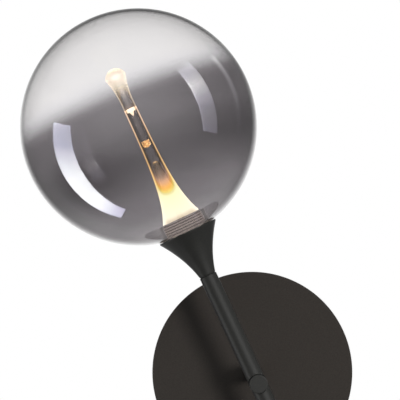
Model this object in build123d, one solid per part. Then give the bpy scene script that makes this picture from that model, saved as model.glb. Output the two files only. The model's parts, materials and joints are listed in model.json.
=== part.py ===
from build123d import *
import os
from math import asin, cos, degrees, exp, radians, sin, sqrt, tan

# A wall sconce: a round plate on a shallow housing, a post that swivels in it, a tube arm across the
# post, and on the arm's upper end a flared cup with a lit clear trumpet inside a glass globe.
# Millimetres. The origin is the centre of the wall face, +Z is up and the room is towards -Y.

os.makedirs("parts", exist_ok=True)

# Plate and housing
PLATE_DIAMETER = 128.0
PLATE_THICKNESS = 3.0
PLATE_EDGE_RADIUS = 0.6
HOUSING_DIAMETER = 112.0
HOUSING_DEPTH = 22.0
HOUSING_WALL = 1.5

# Wall bracket and its screws
BRACKET_WIDTH = 18.0
BRACKET_THICKNESS = 2.0
BRACKET_TAB_HEIGHT = 12.0
BRACKET_BEND_RADIUS = 1.5
BRACKET_END_GAP = 0.5
WALL_SLOT_SPACING = 79.5
WALL_SLOT_LENGTH = 16.0
WALL_SLOT_WIDTH = 5.0
SIDE_SCREW_DIAMETER = 4.0
SIDE_SCREW_HEAD_DIAMETER = 8.0
SIDE_SCREW_HEAD_HEIGHT = 2.4
SIDE_SCREW_HEIGHT = 7.0
EARTH_SCREW_DIAMETER = 4.0
EARTH_SCREW_HEAD_DIAMETER = 7.0
EARTH_SCREW_HEAD_HEIGHT = 2.2
EARTH_SCREW_OFFSET = 16.0

# Swivel
POST_DIAMETER = 11.0
POST_NOSE = 6.5
POST_NOSE_RADIUS = 0.4
POST_BORE_DIAMETER = 5.0
SPIGOT_DIAMETER = 10.0
SPIGOT_FLAT_DEPTH = 0.8
BUSHING_EDGE = 4.5
BUSHING_FLANGE_THICKNESS = 3.0
BUSHING_NECK_DIAMETER = 16.0
PLATE_STUD_CIRCLE = 27.0
PLATE_STUD_COUNT = 3
PLATE_STUD_DIAMETER = 4.0
PLATE_STUD_END = 1.0
PLATE_NUT_WIDTH = 7.0
PLATE_NUT_HEIGHT = 3.2
WASHER_RIM = 1.7
FRICTION_WASHER_THICKNESS = 1.0
STOP_WASHER_THICKNESS = 1.2
SPRING_WASHER_THICKNESS = 0.8
SPRING_WASHER_CONE = 0.4
SWIVEL_NUT_WIDTH = 14.0
SWIVEL_NUT_HEIGHT = 3.0
POST_TAIL = 0.7
STOP_PIN_DIAMETER = 2.0
STOP_PIN_GAP = 0.3
SWIVEL_HALF_RANGE = 165.0

# Arm
ARM_STANDOFF = 62.5
ARM_ANGLE = 25.0
ARM_LENGTH = 70.1
TAIL_LENGTH = 45.0
TUBE_DIAMETER = 10.5
TUBE_BORE_DIAMETER = 6.1
TUBE_MITRE_GAP = 0.15
CROSS_STUD_REACH = 18.0
STUD_BORE_DIAMETER = 3.6
TAIL_CAP_DOME = 2.6
TAIL_CAP_PLUG = 6.0
CUP_NIPPLE_IN_TUBE = 14.0
CUP_WEB = 2.3

# Lamp cup and light source
CUP_HEIGHT = 27.8
CUP_LEDGE_WIDTH = 5.7
CUP_FLARE_ANGLE = 12.4
CUP_SEAM_GROOVE = 0.3
CUP_SEAT_DEPTH = 0.7
COLLAR_DIAMETER = 24.8
COLLAR_WALL = 2.4
COLLAR_RISE = 9.9
COLLAR_GROOVE_COUNT = 6
COLLAR_GROOVE_WIDTH = 0.6
COLLAR_GROOVE_DEPTH = 0.4
HEAT_SINK_FLANGE_THICKNESS = 1.5
HEAT_SINK_FLANGE_DEPTH = 4.5
HEAT_SINK_BODY_DIAMETER = 17.8
HEAT_SINK_BODY_DEPTH = 11.0
HEAT_SINK_FOOT_DIAMETER = 12.4
HEAT_SINK_FOOT_DEPTH = 16.5
BOARD_GAP = 0.5
BOARD_THICKNESS = 1.2
EMITTER_DIAMETER = 9.0
EMITTER_THICKNESS = 1.0
BOARD_SCREW_DIAMETER = 2.0
BOARD_SCREW_HEAD_DIAMETER = 3.2
BOARD_SCREW_HEAD_HEIGHT = 1.2
BOARD_SCREW_LENGTH = 4.0
BOARD_SCREW_INSET = 2.4

# Light guide, whose outline is an exponential horn
GUIDE_SHOULDER = 0.7
GUIDE_WAIST_DIAMETER = 7.5
GUIDE_HORN_LENGTH = 16.5
GUIDE_HEIGHT = 71.2
GUIDE_STATIONS = 9
GUIDE_PLUG_DEPTH = 11.4
GUIDE_PLUG_WALL = 1.45
GUIDE_POCKET_DEPTH = 48.0
GUIDE_POCKET_STRAIGHT = 17.0
GUIDE_POCKET_THROAT = 6.4
GUIDE_POCKET_TAPER = 22.0
GUIDE_POCKET_END_DIAMETER = 3.4
GUIDE_WEB = 9.5
GUIDE_BORE_DIAMETER = 3.4
TIP_CONE_DIAMETER = 5.0
TIP_CONE_LENGTH = 5.0
TIP_CONE_GAP = 0.2
TIP_STEM_LENGTH = 14.6
TIP_STEM_DIAMETER = 9.6
TIP_HEAD_DIAMETER = 12.8
TIP_FLARE_LENGTH = 6.4
TIP_DOME_HEIGHT = 5.0

# Globe
GLOBE_DIAMETER = 140.0
GLOBE_WALL = 1.5
NECK_WALL = 1.8
NECK_HEIGHT = 8.4
NECK_LIP_WIDTH = 1.1
THREAD_CLEARANCE = 0.4
GASKET_WIDTH = 1.2
GASKET_EDGE_THICKNESS = 0.95
GASKET_GAP = 0.05

# Electrics
DRIVER_LENGTH = 56.0
DRIVER_WIDTH = 20.0
DRIVER_HEIGHT = 17.0
DRIVER_GAP = 0.5
DRIVER_EDGE_RADIUS = 1.2
DRIVER_EAR_LENGTH = 7.0
DRIVER_EAR_WIDTH = 9.0
DRIVER_EAR_THICKNESS = 1.6
DRIVER_SCREW_DIAMETER = 3.0
DRIVER_SCREW_HEAD_DIAMETER = 5.6
DRIVER_SCREW_HEAD_HEIGHT = 2.0
BLOCK_LENGTH = 28.0
BLOCK_WIDTH = 14.0
BLOCK_HEIGHT = 12.0
BLOCK_OFFSET_X = 16.0
BLOCK_OFFSET_Y = 29.0
BLOCK_POLES = 3
BLOCK_POLE_PITCH = 9.0
BLOCK_ENTRY_DIAMETER = 3.4
BLOCK_ENTRY_HEIGHT = 6.0
BLOCK_SCREW_DIAMETER = 3.0
BLOCK_SCREW_INSET = 3.5
LEAD_DIAMETER = 1.8
LEAD_IN_BLOCK = 5.0
LEAD_BULGE = 3.0
CABLE_DIAMETER = 2.4
CABLE_HUB_BEND = 3.0
CABLE_REAR_BEND = 4.0
TONGUE_DIAMETER = 8.0
TONGUE_THICKNESS = 0.8
TONGUE_BARREL_LENGTH = 6.0
TONGUE_BARREL_WALL = 0.5

# Clearances
FIT = 0.05
RUNNING_FIT = 0.05
RUNNING_GAP = 0.1
HOLE_CLEARANCE = 0.3
SLOT_DRIVE_WIDTH = 0.7
SLOT_DRIVE_DEPTH = 0.6

# Levels off the wall, from the wall outwards
PLATE_BACK = HOUSING_DEPTH
PLATE_FRONT = PLATE_BACK + PLATE_THICKNESS
PAN_FLOOR = HOUSING_DEPTH - HOUSING_WALL
BUSHING_REAR = PAN_FLOOR - BUSHING_FLANGE_THICKNESS
FRICTION_WASHER_REAR = BUSHING_REAR - RUNNING_FIT - FRICTION_WASHER_THICKNESS
STOP_WASHER_REAR = FRICTION_WASHER_REAR - STOP_WASHER_THICKNESS
SPRING_WASHER_REAR = STOP_WASHER_REAR - SPRING_WASHER_CONE - SPRING_WASHER_THICKNESS
SWIVEL_NUT_REAR = SPRING_WASHER_REAR - SWIVEL_NUT_HEIGHT
POST_REAR = SWIVEL_NUT_REAR - POST_TAIL
ARM_LEVEL = PLATE_FRONT + ARM_STANDOFF
CABLE_JOIN = POST_REAR - POST_TAIL

# Distances along the arm from the post's centre
CUP_RIM = ARM_LENGTH + CUP_HEIGHT
COLLAR_TOP = CUP_RIM + COLLAR_RISE
BOARD_SEAT = CUP_RIM - HEAT_SINK_FLANGE_DEPTH
GUIDE_TOP = COLLAR_TOP + GUIDE_HEIGHT

SPIGOT_R = SPIGOT_DIAMETER / 2
TUBE_R = TUBE_DIAMETER / 2
STUD_R = TUBE_BORE_DIAMETER / 2 - FIT
COLLAR_R = COLLAR_DIAMETER / 2
WASHER_R = SPIGOT_R + WASHER_RIM
STOP_PIN_CIRCLE_R = WASHER_R + STOP_PIN_GAP + STOP_PIN_DIAMETER / 2
STOP_TAB_R = STOP_PIN_CIRCLE_R + STOP_PIN_DIAMETER / 2

# The flange holds the studs, and the driver sits just above it.
BUSHING_FLANGE_DIAMETER = PLATE_STUD_CIRCLE + 2 * BUSHING_EDGE
DRIVER_OFFSET = BUSHING_FLANGE_DIAMETER / 2 + DRIVER_GAP + DRIVER_WIDTH / 2

# The collar sets what stands on it, what fits in it and the cup's ledge round it.
COLLAR_BORE = COLLAR_DIAMETER - 2 * COLLAR_WALL
CUP_RIM_DIAMETER = COLLAR_DIAMETER + 2 * CUP_LEDGE_WIDTH
CUP_NIPPLE_IN_CUP = CUP_HEIGHT - HEAT_SINK_FOOT_DEPTH - CUP_WEB
BOARD_DIAMETER = COLLAR_BORE - 2 * BOARD_GAP
BOARD_SCREW_CIRCLE = BOARD_DIAMETER - 2 * BOARD_SCREW_INSET
GUIDE_BASE_DIAMETER = COLLAR_DIAMETER - 2 * GUIDE_SHOULDER
GUIDE_PLUG_DIAMETER = COLLAR_BORE - 2 * FIT
GUIDE_POCKET_DIAMETER = GUIDE_PLUG_DIAMETER - 2 * GUIDE_PLUG_WALL

# The globe's lip rests on the gasket, which lies in a seat in the cup's ledge. The gasket's thin inner
# edge sets how high the globe's centre is.
GLOBE_R = GLOBE_DIAMETER / 2
NECK_INNER_R = COLLAR_R + THREAD_CLEARANCE
NECK_OUTER_R = NECK_INNER_R + NECK_WALL
LIP_R = NECK_INNER_R + NECK_LIP_WIDTH
GASKET_OUTER_R = LIP_R + GASKET_WIDTH
GASKET_SEAT = CUP_RIM - CUP_SEAT_DEPTH
GASKET_DISH_R = GLOBE_R + GASKET_GAP
GLOBE_CENTRE = GASKET_SEAT + GASKET_EDGE_THICKNESS + sqrt(GASKET_DISH_R**2 - LIP_R**2)

# In the wall frame x is right, y is up and z comes off the wall. In the arm frame z runs up the arm
# from the post's centre and y points to the wall.
WALL = Plane(origin=(0, 0, 0), x_dir=(1, 0, 0), z_dir=(0, -1, 0))
ARM_X = cos(radians(ARM_ANGLE))
ARM_Z = sin(radians(ARM_ANGLE))
ARM = Plane(origin=(0, -ARM_LEVEL, 0), x_dir=(ARM_X, 0, ARM_Z), z_dir=(-ARM_Z, 0, ARM_X))


def save(name, frame, *solids):
    """Places solids that were made in a frame and writes them as one node."""
    placed = [frame * solid for solid in solids]
    shape = placed[0] if len(placed) == 1 else Compound(children=placed)
    export_step(shape, f"parts/{name}.step")


def disc(diameter, low, high):
    """A cylinder about z between two levels."""
    return Pos(0, 0, low) * extrude(Circle(diameter / 2), amount=high - low)


def ring(outer, inner, low, high):
    """A tube about z between two levels."""
    return Pos(0, 0, low) * extrude(Circle(outer / 2) - Circle(inner / 2), amount=high - low)


def block(x, y, low, high, width, depth):
    """A box centred on x and y, between two levels."""
    return Pos(x, y, low) * extrude(Rectangle(width, depth), amount=high - low)


def turned(outline):
    """The solid that an outline in radius and height makes when it turns about z."""
    return revolve(Plane.XZ * make_face(outline), axis=Axis.Z)


def hexagon(width, low, high):
    """A hexagonal bar of a width across its flats, between two levels."""
    corner_radius = width / 2 / cos(radians(30))
    return Pos(0, 0, low) * extrude(RegularPolygon(corner_radius, 6), amount=high - low)


def swept(diameter, points, radius):
    """A round cable along straight runs joined by tangent arcs."""
    path = FilletPolyline(*points, radius=radius)
    section = Plane(origin=path @ 0, z_dir=path % 0) * Circle(diameter / 2)
    return sweep(section, path=path)


def slotted_screw(diameter, head_diameter, head_height, tip, seat):
    """A screw about z from its tip to its seat, with a slotted head on the far side of the seat."""
    outwards = 1 if seat > tip else -1
    face = seat + outwards * head_height
    slot_floor = face - outwards * SLOT_DRIVE_DEPTH
    screw = disc(diameter, min(tip, seat), max(tip, seat))
    screw += disc(head_diameter, min(seat, face), max(seat, face))
    low = min(slot_floor, face)
    return screw - block(0, 0, low, low + SLOT_DRIVE_DEPTH, head_diameter, SLOT_DRIVE_WIDTH)


# Places that several pieces share
STUD_PLACES = PolarLocations(PLATE_STUD_CIRCLE / 2, PLATE_STUD_COUNT, start_angle=90)
HOUSING_INNER_R = HOUSING_DIAMETER / 2 - HOUSING_WALL
TAB_OUTER_X = sqrt((HOUSING_INNER_R - BRACKET_END_GAP) ** 2 - (BRACKET_WIDTH / 2) ** 2)
DRIVER_EAR_X = (DRIVER_LENGTH + DRIVER_EAR_LENGTH) / 2
DRIVER_SCREW_PLACES = Locations((-DRIVER_EAR_X, DRIVER_OFFSET), (DRIVER_EAR_X, DRIVER_OFFSET))
BLOCK_TOP_Y = -BLOCK_OFFSET_Y + BLOCK_WIDTH / 2
BLOCK_REAR = PAN_FLOOR - BLOCK_HEIGHT
BLOCK_ENTRY_LEVEL = PAN_FLOOR - BLOCK_ENTRY_HEIGHT
FIRST_POLE_X = -BLOCK_OFFSET_X - BLOCK_POLE_PITCH * (BLOCK_POLES - 1) / 2
POLE_X = [FIRST_POLE_X + BLOCK_POLE_PITCH * pole for pole in range(BLOCK_POLES)]
DRIVER_BOTTOM_Y = DRIVER_OFFSET - DRIVER_WIDTH / 2
DRIVER_REAR = PAN_FLOOR - DRIVER_HEIGHT


def along_x(side, solid):
    """Turns a solid made about z so that it points outwards along x on one side."""
    return Rot(0, 90 * side, 0) * solid


def front_plate():
    plate = disc(PLATE_DIAMETER, PLATE_BACK, PLATE_FRONT)
    plate = fillet(plate.edges().group_by(Axis.Z)[-1], PLATE_EDGE_RADIUS)
    return plate - disc(SPIGOT_DIAMETER + 2 * HOLE_CLEARANCE, PLATE_BACK, PLATE_FRONT)


def back_housing():
    pan = disc(HOUSING_DIAMETER, 0, HOUSING_DEPTH) - disc(2 * HOUSING_INNER_R, 0, PAN_FLOOR)
    pan -= disc(BUSHING_NECK_DIAMETER + 2 * FIT, PAN_FLOOR, HOUSING_DEPTH)
    for place in STUD_PLACES:
        pan -= place * disc(PLATE_STUD_DIAMETER + 2 * HOLE_CLEARANCE, PAN_FLOOR, HOUSING_DEPTH)
    for place in DRIVER_SCREW_PLACES:
        pan -= place * disc(DRIVER_SCREW_DIAMETER + 2 * FIT, PAN_FLOOR, HOUSING_DEPTH)
    for side in (-1, 1):
        hole_diameter = SIDE_SCREW_DIAMETER + 2 * HOLE_CLEARANCE
        hole = disc(hole_diameter, TAB_OUTER_X, HOUSING_DIAMETER / 2 + HOUSING_WALL)
        pan -= Pos(0, 0, SIDE_SCREW_HEIGHT) * along_x(side, hole)
    return pan


def mounting_bracket():
    strap = block(0, 0, 0, BRACKET_TAB_HEIGHT, 2 * TAB_OUTER_X, BRACKET_WIDTH)
    bends = strap.edges().filter_by(Axis.Y).group_by(Axis.Z)[0]
    strap = fillet(bends, BRACKET_BEND_RADIUS)
    hollow_length = 2 * (TAB_OUTER_X - BRACKET_THICKNESS)
    strap -= block(0, 0, BRACKET_THICKNESS, BRACKET_TAB_HEIGHT, hollow_length, BRACKET_WIDTH)
    for side in (-1, 1):
        slot = extrude(SlotOverall(WALL_SLOT_LENGTH, WALL_SLOT_WIDTH), amount=BRACKET_THICKNESS)
        strap -= Pos(side * WALL_SLOT_SPACING / 2, 0, 0) * slot
        thread = disc(SIDE_SCREW_DIAMETER + 2 * FIT, TAB_OUTER_X - BRACKET_THICKNESS, TAB_OUTER_X)
        strap -= Pos(0, 0, SIDE_SCREW_HEIGHT) * along_x(side, thread)
    earth_thread = disc(EARTH_SCREW_DIAMETER + 2 * FIT, 0, BRACKET_THICKNESS)
    return strap - Pos(-EARTH_SCREW_OFFSET, 0, 0) * earth_thread


def side_screws():
    seat = HOUSING_DIAMETER / 2 + FIT
    tip = TAB_OUTER_X - 2 * BRACKET_THICKNESS
    screw = slotted_screw(SIDE_SCREW_DIAMETER, SIDE_SCREW_HEAD_DIAMETER, SIDE_SCREW_HEAD_HEIGHT, tip, seat)
    return [Pos(0, 0, SIDE_SCREW_HEIGHT) * along_x(side, screw) for side in (-1, 1)]


def earth_screw():
    seat = BRACKET_THICKNESS + TONGUE_THICKNESS
    screw = slotted_screw(EARTH_SCREW_DIAMETER, EARTH_SCREW_HEAD_DIAMETER, EARTH_SCREW_HEAD_HEIGHT, 0, seat)
    return Pos(-EARTH_SCREW_OFFSET, 0, 0) * screw


# The earth tongue lies under the earth screw's head with its barrel towards the terminal block.
BARREL_R = LEAD_DIAMETER / 2 + FIT + TONGUE_BARREL_WALL
BARREL_LEVEL = BRACKET_THICKNESS + BARREL_R
BARREL_START_Y = -EARTH_SCREW_HEAD_DIAMETER / 2 - 2 * FIT
BARREL_END_Y = BARREL_START_Y - TONGUE_BARREL_LENGTH


def along_minus_y(x, level, near, far, diameter):
    """A round bar at one level that runs down the wall between two heights."""
    return Pos(x, near, level) * Rot(90, 0, 0) * disc(diameter, 0, near - far)


def earth_tongue():
    top = BRACKET_THICKNESS + TONGUE_THICKNESS
    tongue = ring(TONGUE_DIAMETER, EARTH_SCREW_DIAMETER + 2 * FIT, BRACKET_THICKNESS, top)
    neck_length = -BARREL_START_Y - EARTH_SCREW_DIAMETER / 2 - HOLE_CLEARANCE
    neck_y = BARREL_START_Y + neck_length / 2
    tongue += block(0, neck_y, BRACKET_THICKNESS, top, 2 * BARREL_R, neck_length)
    tongue += along_minus_y(0, BARREL_LEVEL, BARREL_START_Y, BARREL_END_Y, 2 * BARREL_R)
    hole_start = BARREL_START_Y - TONGUE_BARREL_WALL
    tongue -= along_minus_y(0, BARREL_LEVEL, hole_start, BARREL_END_Y, LEAD_DIAMETER + 2 * FIT)
    return Pos(-EARTH_SCREW_OFFSET, 0, 0) * tongue


def swivel_bushing():
    bushing = disc(BUSHING_FLANGE_DIAMETER, BUSHING_REAR, PAN_FLOOR)
    bushing += disc(BUSHING_NECK_DIAMETER, PAN_FLOOR, PLATE_BACK)
    bushing -= disc(SPIGOT_DIAMETER + 2 * RUNNING_FIT, BUSHING_REAR, PLATE_BACK)
    for place in STUD_PLACES:
        bushing -= place * disc(PLATE_STUD_DIAMETER + 2 * HOLE_CLEARANCE, BUSHING_REAR, PAN_FLOOR)
    pin_hole = disc(STOP_PIN_DIAMETER + 2 * FIT, BUSHING_REAR, PAN_FLOOR)
    return bushing - Pos(0, -STOP_PIN_CIRCLE_R, 0) * pin_hole


def plate_studs():
    end = BUSHING_REAR - PLATE_NUT_HEIGHT - PLATE_STUD_END
    return [place * disc(PLATE_STUD_DIAMETER, end, PLATE_BACK) for place in STUD_PLACES]


def plate_nuts():
    nut = hexagon(PLATE_NUT_WIDTH, BUSHING_REAR - PLATE_NUT_HEIGHT, BUSHING_REAR)
    nut -= disc(PLATE_STUD_DIAMETER + 2 * FIT, BUSHING_REAR - PLATE_NUT_HEIGHT, BUSHING_REAR)
    return [place * nut for place in STUD_PLACES]


def stop_pin():
    return Pos(0, -STOP_PIN_CIRCLE_R, 0) * disc(STOP_PIN_DIAMETER, STOP_WASHER_REAR, PAN_FLOOR)


def friction_washer():
    front = FRICTION_WASHER_REAR + FRICTION_WASHER_THICKNESS
    return ring(2 * WASHER_R, SPIGOT_DIAMETER + 2 * FIT, FRICTION_WASHER_REAR, front)


# The spigot has a flat that turns the stop washer. The washer's tab points along the arm, and its
# width lets the post turn from upright by the half range before the tab meets the pin.
FLAT_DISTANCE = SPIGOT_R - SPIGOT_FLAT_DEPTH
STOP_PIN_HALF_ANGLE = degrees(asin(STOP_PIN_DIAMETER / 2 / STOP_PIN_CIRCLE_R))
STOP_TAB_HALF_ANGLE = 180 - SWIVEL_HALF_RANGE - STOP_PIN_HALF_ANGLE
STOP_TAB_WIDTH = 2 * (STOP_PIN_CIRCLE_R * tan(radians(STOP_TAB_HALF_ANGLE)) - STOP_PIN_GAP)


def stop_washer():
    rear = STOP_WASHER_REAR
    front = FRICTION_WASHER_REAR
    washer = disc(2 * WASHER_R, rear, front)
    washer += block(0, STOP_TAB_R / 2, rear, front, STOP_TAB_WIDTH, STOP_TAB_R)
    opening = disc(SPIGOT_DIAMETER + 2 * FIT, rear, front)
    beyond_flat = Pos(0, -FLAT_DISTANCE - FIT - SPIGOT_R, 0)
    opening -= beyond_flat * block(0, 0, rear, front, SPIGOT_DIAMETER, SPIGOT_DIAMETER)
    return Rot(0, 0, ARM_ANGLE) * (washer - opening)


def spring_washer():
    inner = SPIGOT_R + FIT
    low = SPRING_WASHER_REAR
    high = low + SPRING_WASHER_CONE
    corners = [
        (inner, low),
        (WASHER_R, high),
        (WASHER_R, high + SPRING_WASHER_THICKNESS),
        (inner, low + SPRING_WASHER_THICKNESS),
    ]
    return turned(Polyline(*corners, close=True))


def swivel_nut():
    nut = hexagon(SWIVEL_NUT_WIDTH, SWIVEL_NUT_REAR, SPRING_WASHER_REAR)
    return nut - disc(SPIGOT_DIAMETER + 2 * FIT, SWIVEL_NUT_REAR, SPRING_WASHER_REAR)


def post():
    nose = ARM_LEVEL + POST_NOSE
    bar = disc(POST_DIAMETER, PLATE_FRONT + RUNNING_GAP, nose)
    bar = fillet(bar.edges().group_by(Axis.Z)[-1], POST_NOSE_RADIUS)
    bar += disc(SPIGOT_DIAMETER, POST_REAR, PLATE_FRONT + RUNNING_GAP)
    bar -= disc(POST_BORE_DIAMETER, POST_REAR, ARM_LEVEL)
    flat = Pos(0, -FLAT_DISTANCE - SPIGOT_R, 0)
    flat *= block(0, 0, POST_REAR, FRICTION_WASHER_REAR, SPIGOT_DIAMETER, SPIGOT_DIAMETER)
    bar -= Rot(0, 0, ARM_ANGLE) * flat
    cross_hole = disc(TUBE_BORE_DIAMETER, -POST_DIAMETER, POST_DIAMETER)
    return bar - Pos(0, 0, ARM_LEVEL) * Rot(0, 0, ARM_ANGLE) * Rot(-90, 0, 0) * cross_hole


def mitre():
    """The round that the post takes out of each tube's end, in the arm frame."""
    return Rot(90, 0, 0) * disc(POST_DIAMETER + 2 * TUBE_MITRE_GAP, -POST_DIAMETER, POST_DIAMETER)


def arm_tube():
    return ring(TUBE_DIAMETER, TUBE_BORE_DIAMETER, 0, ARM_LENGTH) - mitre()


def tail_tube():
    return ring(TUBE_DIAMETER, TUBE_BORE_DIAMETER, -TAIL_LENGTH, 0) - mitre()


def tail_cap():
    rise = TAIL_CAP_DOME
    shoulder = (TUBE_R, -TAIL_LENGTH)
    bottom = (0, -TAIL_LENGTH - rise)
    sphere_r = (TUBE_R**2 + rise**2) / (2 * rise)
    half_angle = asin(TUBE_R / sphere_r) / 2
    middle = (sphere_r * sin(half_angle), bottom[1] + sphere_r * (1 - cos(half_angle)))
    plug_top = -TAIL_LENGTH + TAIL_CAP_PLUG
    outline = Polyline(bottom, (0, plug_top), (STUD_R, plug_top), (STUD_R, -TAIL_LENGTH), shoulder)
    return turned(outline + ThreePointArc(shoulder, middle, bottom))


def cross_stud():
    stud = ring(2 * STUD_R, STUD_BORE_DIAMETER, -CROSS_STUD_REACH, CROSS_STUD_REACH)
    window_top = CABLE_HUB_BEND + CABLE_DIAMETER
    window = block(0, STUD_R / 2, -CABLE_DIAMETER, window_top, STUD_BORE_DIAMETER, STUD_R)
    return stud - window


def cup_nipple():
    low = ARM_LENGTH - CUP_NIPPLE_IN_TUBE
    return ring(2 * STUD_R, STUD_BORE_DIAMETER, low, ARM_LENGTH + CUP_NIPPLE_IN_CUP)


def heat_sink_steps():
    """Radius, lower and upper level of each step of the heat sink, from its flange down."""
    flange_rear = BOARD_SEAT - HEAT_SINK_FLANGE_THICKNESS
    body_rear = CUP_RIM - HEAT_SINK_BODY_DEPTH
    foot_rear = CUP_RIM - HEAT_SINK_FOOT_DEPTH
    return [
        (COLLAR_DIAMETER, flange_rear, BOARD_SEAT),
        (HEAT_SINK_BODY_DIAMETER, body_rear, flange_rear),
        (HEAT_SINK_FOOT_DIAMETER, foot_rear, body_rear),
    ]


def lamp_cup():
    rim_r = CUP_RIM_DIAMETER / 2
    foot_r = TUBE_R - CUP_SEAM_GROOVE
    bend_r = foot_r + tan(radians(CUP_FLARE_ANGLE)) * CUP_HEIGHT / 2
    flare = Bezier((foot_r, ARM_LENGTH), (bend_r, ARM_LENGTH + CUP_HEIGHT / 2), (rim_r, CUP_RIM))
    axis_and_ends = Polyline((rim_r, CUP_RIM), (0, CUP_RIM), (0, ARM_LENGTH), (foot_r, ARM_LENGTH))
    cup = turned(flare + axis_and_ends)
    for diameter, low, high in heat_sink_steps():
        cup -= disc(diameter + 2 * FIT, low, high)
    cup -= disc(COLLAR_DIAMETER + 2 * FIT, BOARD_SEAT, CUP_RIM)
    cup -= disc(2 * GASKET_OUTER_R + 2 * FIT, GASKET_SEAT, CUP_RIM)
    cup -= disc(TUBE_BORE_DIAMETER, ARM_LENGTH, ARM_LENGTH + CUP_NIPPLE_IN_CUP)
    return cup - disc(STUD_BORE_DIAMETER, ARM_LENGTH, CUP_RIM)


BOARD_SCREW_PLACES = PolarLocations(BOARD_SCREW_CIRCLE / 2, 2)


def heat_sink():
    (diameter, low, high), *lower = heat_sink_steps()
    slug = disc(diameter, low, high)
    for diameter, low, high in lower:
        slug += disc(diameter, low, high)
    slug -= disc(STUD_BORE_DIAMETER, CUP_RIM - HEAT_SINK_FOOT_DEPTH, BOARD_SEAT)
    thread_end = BOARD_SEAT + BOARD_THICKNESS - BOARD_SCREW_LENGTH
    for place in BOARD_SCREW_PLACES:
        slug -= place * disc(BOARD_SCREW_DIAMETER + 2 * FIT, thread_end, BOARD_SEAT)
    return slug


def led_board():
    board = disc(BOARD_DIAMETER, BOARD_SEAT, BOARD_SEAT + BOARD_THICKNESS)
    for place in BOARD_SCREW_PLACES:
        board -= place * disc(BOARD_SCREW_DIAMETER + 2 * FIT, BOARD_SEAT, BOARD_SEAT + BOARD_THICKNESS)
    return board


def led_emitter():
    seat = BOARD_SEAT + BOARD_THICKNESS
    return disc(EMITTER_DIAMETER, seat, seat + EMITTER_THICKNESS)


def board_screws():
    seat = BOARD_SEAT + BOARD_THICKNESS
    tip = seat - BOARD_SCREW_LENGTH
    screw = slotted_screw(BOARD_SCREW_DIAMETER, BOARD_SCREW_HEAD_DIAMETER, BOARD_SCREW_HEAD_HEIGHT, tip, seat)
    return [place * screw for place in BOARD_SCREW_PLACES]


def guide_collar():
    collar = ring(COLLAR_DIAMETER, COLLAR_BORE, BOARD_SEAT, COLLAR_TOP)
    pitch = COLLAR_RISE / (COLLAR_GROOVE_COUNT + 1)
    root = COLLAR_DIAMETER - 2 * COLLAR_GROOVE_DEPTH
    for groove in range(1, COLLAR_GROOVE_COUNT + 1):
        low = CUP_RIM + pitch * groove - COLLAR_GROOVE_WIDTH / 2
        collar -= ring(COLLAR_DIAMETER + 2 * FIT, root, low, low + COLLAR_GROOVE_WIDTH)
    return collar


def horn_radius(height):
    """Radius of the light guide's outside at a height above its foot."""
    waist = GUIDE_WAIST_DIAMETER / 2
    return waist + (GUIDE_BASE_DIAMETER / 2 - waist) * exp(-height / GUIDE_HORN_LENGTH)


CONE_SLOPE = TIP_CONE_DIAMETER / 2 / TIP_CONE_LENGTH


def light_guide():
    stations = [GUIDE_HEIGHT * step / (GUIDE_STATIONS - 1) for step in range(GUIDE_STATIONS)]
    horn = [(horn_radius(height), COLLAR_TOP + height) for height in stations]
    plug_r = GUIDE_PLUG_DIAMETER / 2
    foot = COLLAR_TOP - GUIDE_PLUG_DEPTH
    pocket_r = GUIDE_POCKET_DIAMETER / 2
    pocket_top = foot + GUIDE_POCKET_DEPTH
    end_r = GUIDE_POCKET_END_DIAMETER / 2
    end_low = pocket_top - end_r
    end_middle = (end_r * cos(radians(45)), end_low + end_r * sin(radians(45)))
    pocket = Bezier(
        (pocket_r, foot),
        (pocket_r, foot + GUIDE_POCKET_STRAIGHT),
        (GUIDE_POCKET_THROAT / 2, end_low - GUIDE_POCKET_TAPER),
        (end_r, end_low),
    )
    pocket += ThreePointArc((end_r, end_low), end_middle, (0, pocket_top))
    bore_r = GUIDE_BORE_DIAMETER / 2
    mouth_r = TIP_CONE_DIAMETER / 2 + TIP_CONE_GAP
    mouth_low = GUIDE_TOP - (mouth_r - bore_r) / CONE_SLOPE
    bore_end = pocket_top + GUIDE_WEB
    bore_round = bore_end + bore_r
    round_middle = (bore_r * cos(radians(45)), bore_round - bore_r * sin(radians(45)))
    outline = pocket + Line((0, pocket_top), (0, bore_end))
    outline += ThreePointArc((0, bore_end), round_middle, (bore_r, bore_round))
    outline += Polyline((bore_r, bore_round), (bore_r, mouth_low), (mouth_r, GUIDE_TOP), horn[-1])
    outline += Spline(*horn[::-1])
    outline += Polyline(horn[0], (plug_r, COLLAR_TOP), (plug_r, foot), (pocket_r, foot))
    return turned(outline)


def guide_tip():
    stem_top = GUIDE_TOP + TIP_STEM_LENGTH
    brim = stem_top + TIP_FLARE_LENGTH
    head_r = TIP_HEAD_DIAMETER / 2
    foot_r = horn_radius(GUIDE_HEIGHT)
    top = brim + TIP_DOME_HEIGHT
    sphere_r = (head_r**2 + TIP_DOME_HEIGHT**2) / (2 * TIP_DOME_HEIGHT)
    half_angle = asin(min(1, head_r / sphere_r)) / 2
    dome_middle = (sphere_r * sin(half_angle), top - sphere_r * (1 - cos(half_angle)))
    apex = (0, GUIDE_TOP - TIP_CONE_LENGTH)
    outline = Polyline((0, top), apex, (TIP_CONE_DIAMETER / 2, GUIDE_TOP), (foot_r, GUIDE_TOP))
    outline += Spline((foot_r, GUIDE_TOP), (TIP_STEM_DIAMETER / 2, stem_top), (head_r, brim))
    outline += ThreePointArc((head_r, brim), dome_middle, (0, top))
    return turned(outline)


def below_centre(sphere_r, radius):
    """Level on the arm of a sphere about the globe's centre, below the centre, at a radius."""
    return GLOBE_CENTRE - sqrt(sphere_r**2 - radius**2)


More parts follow.
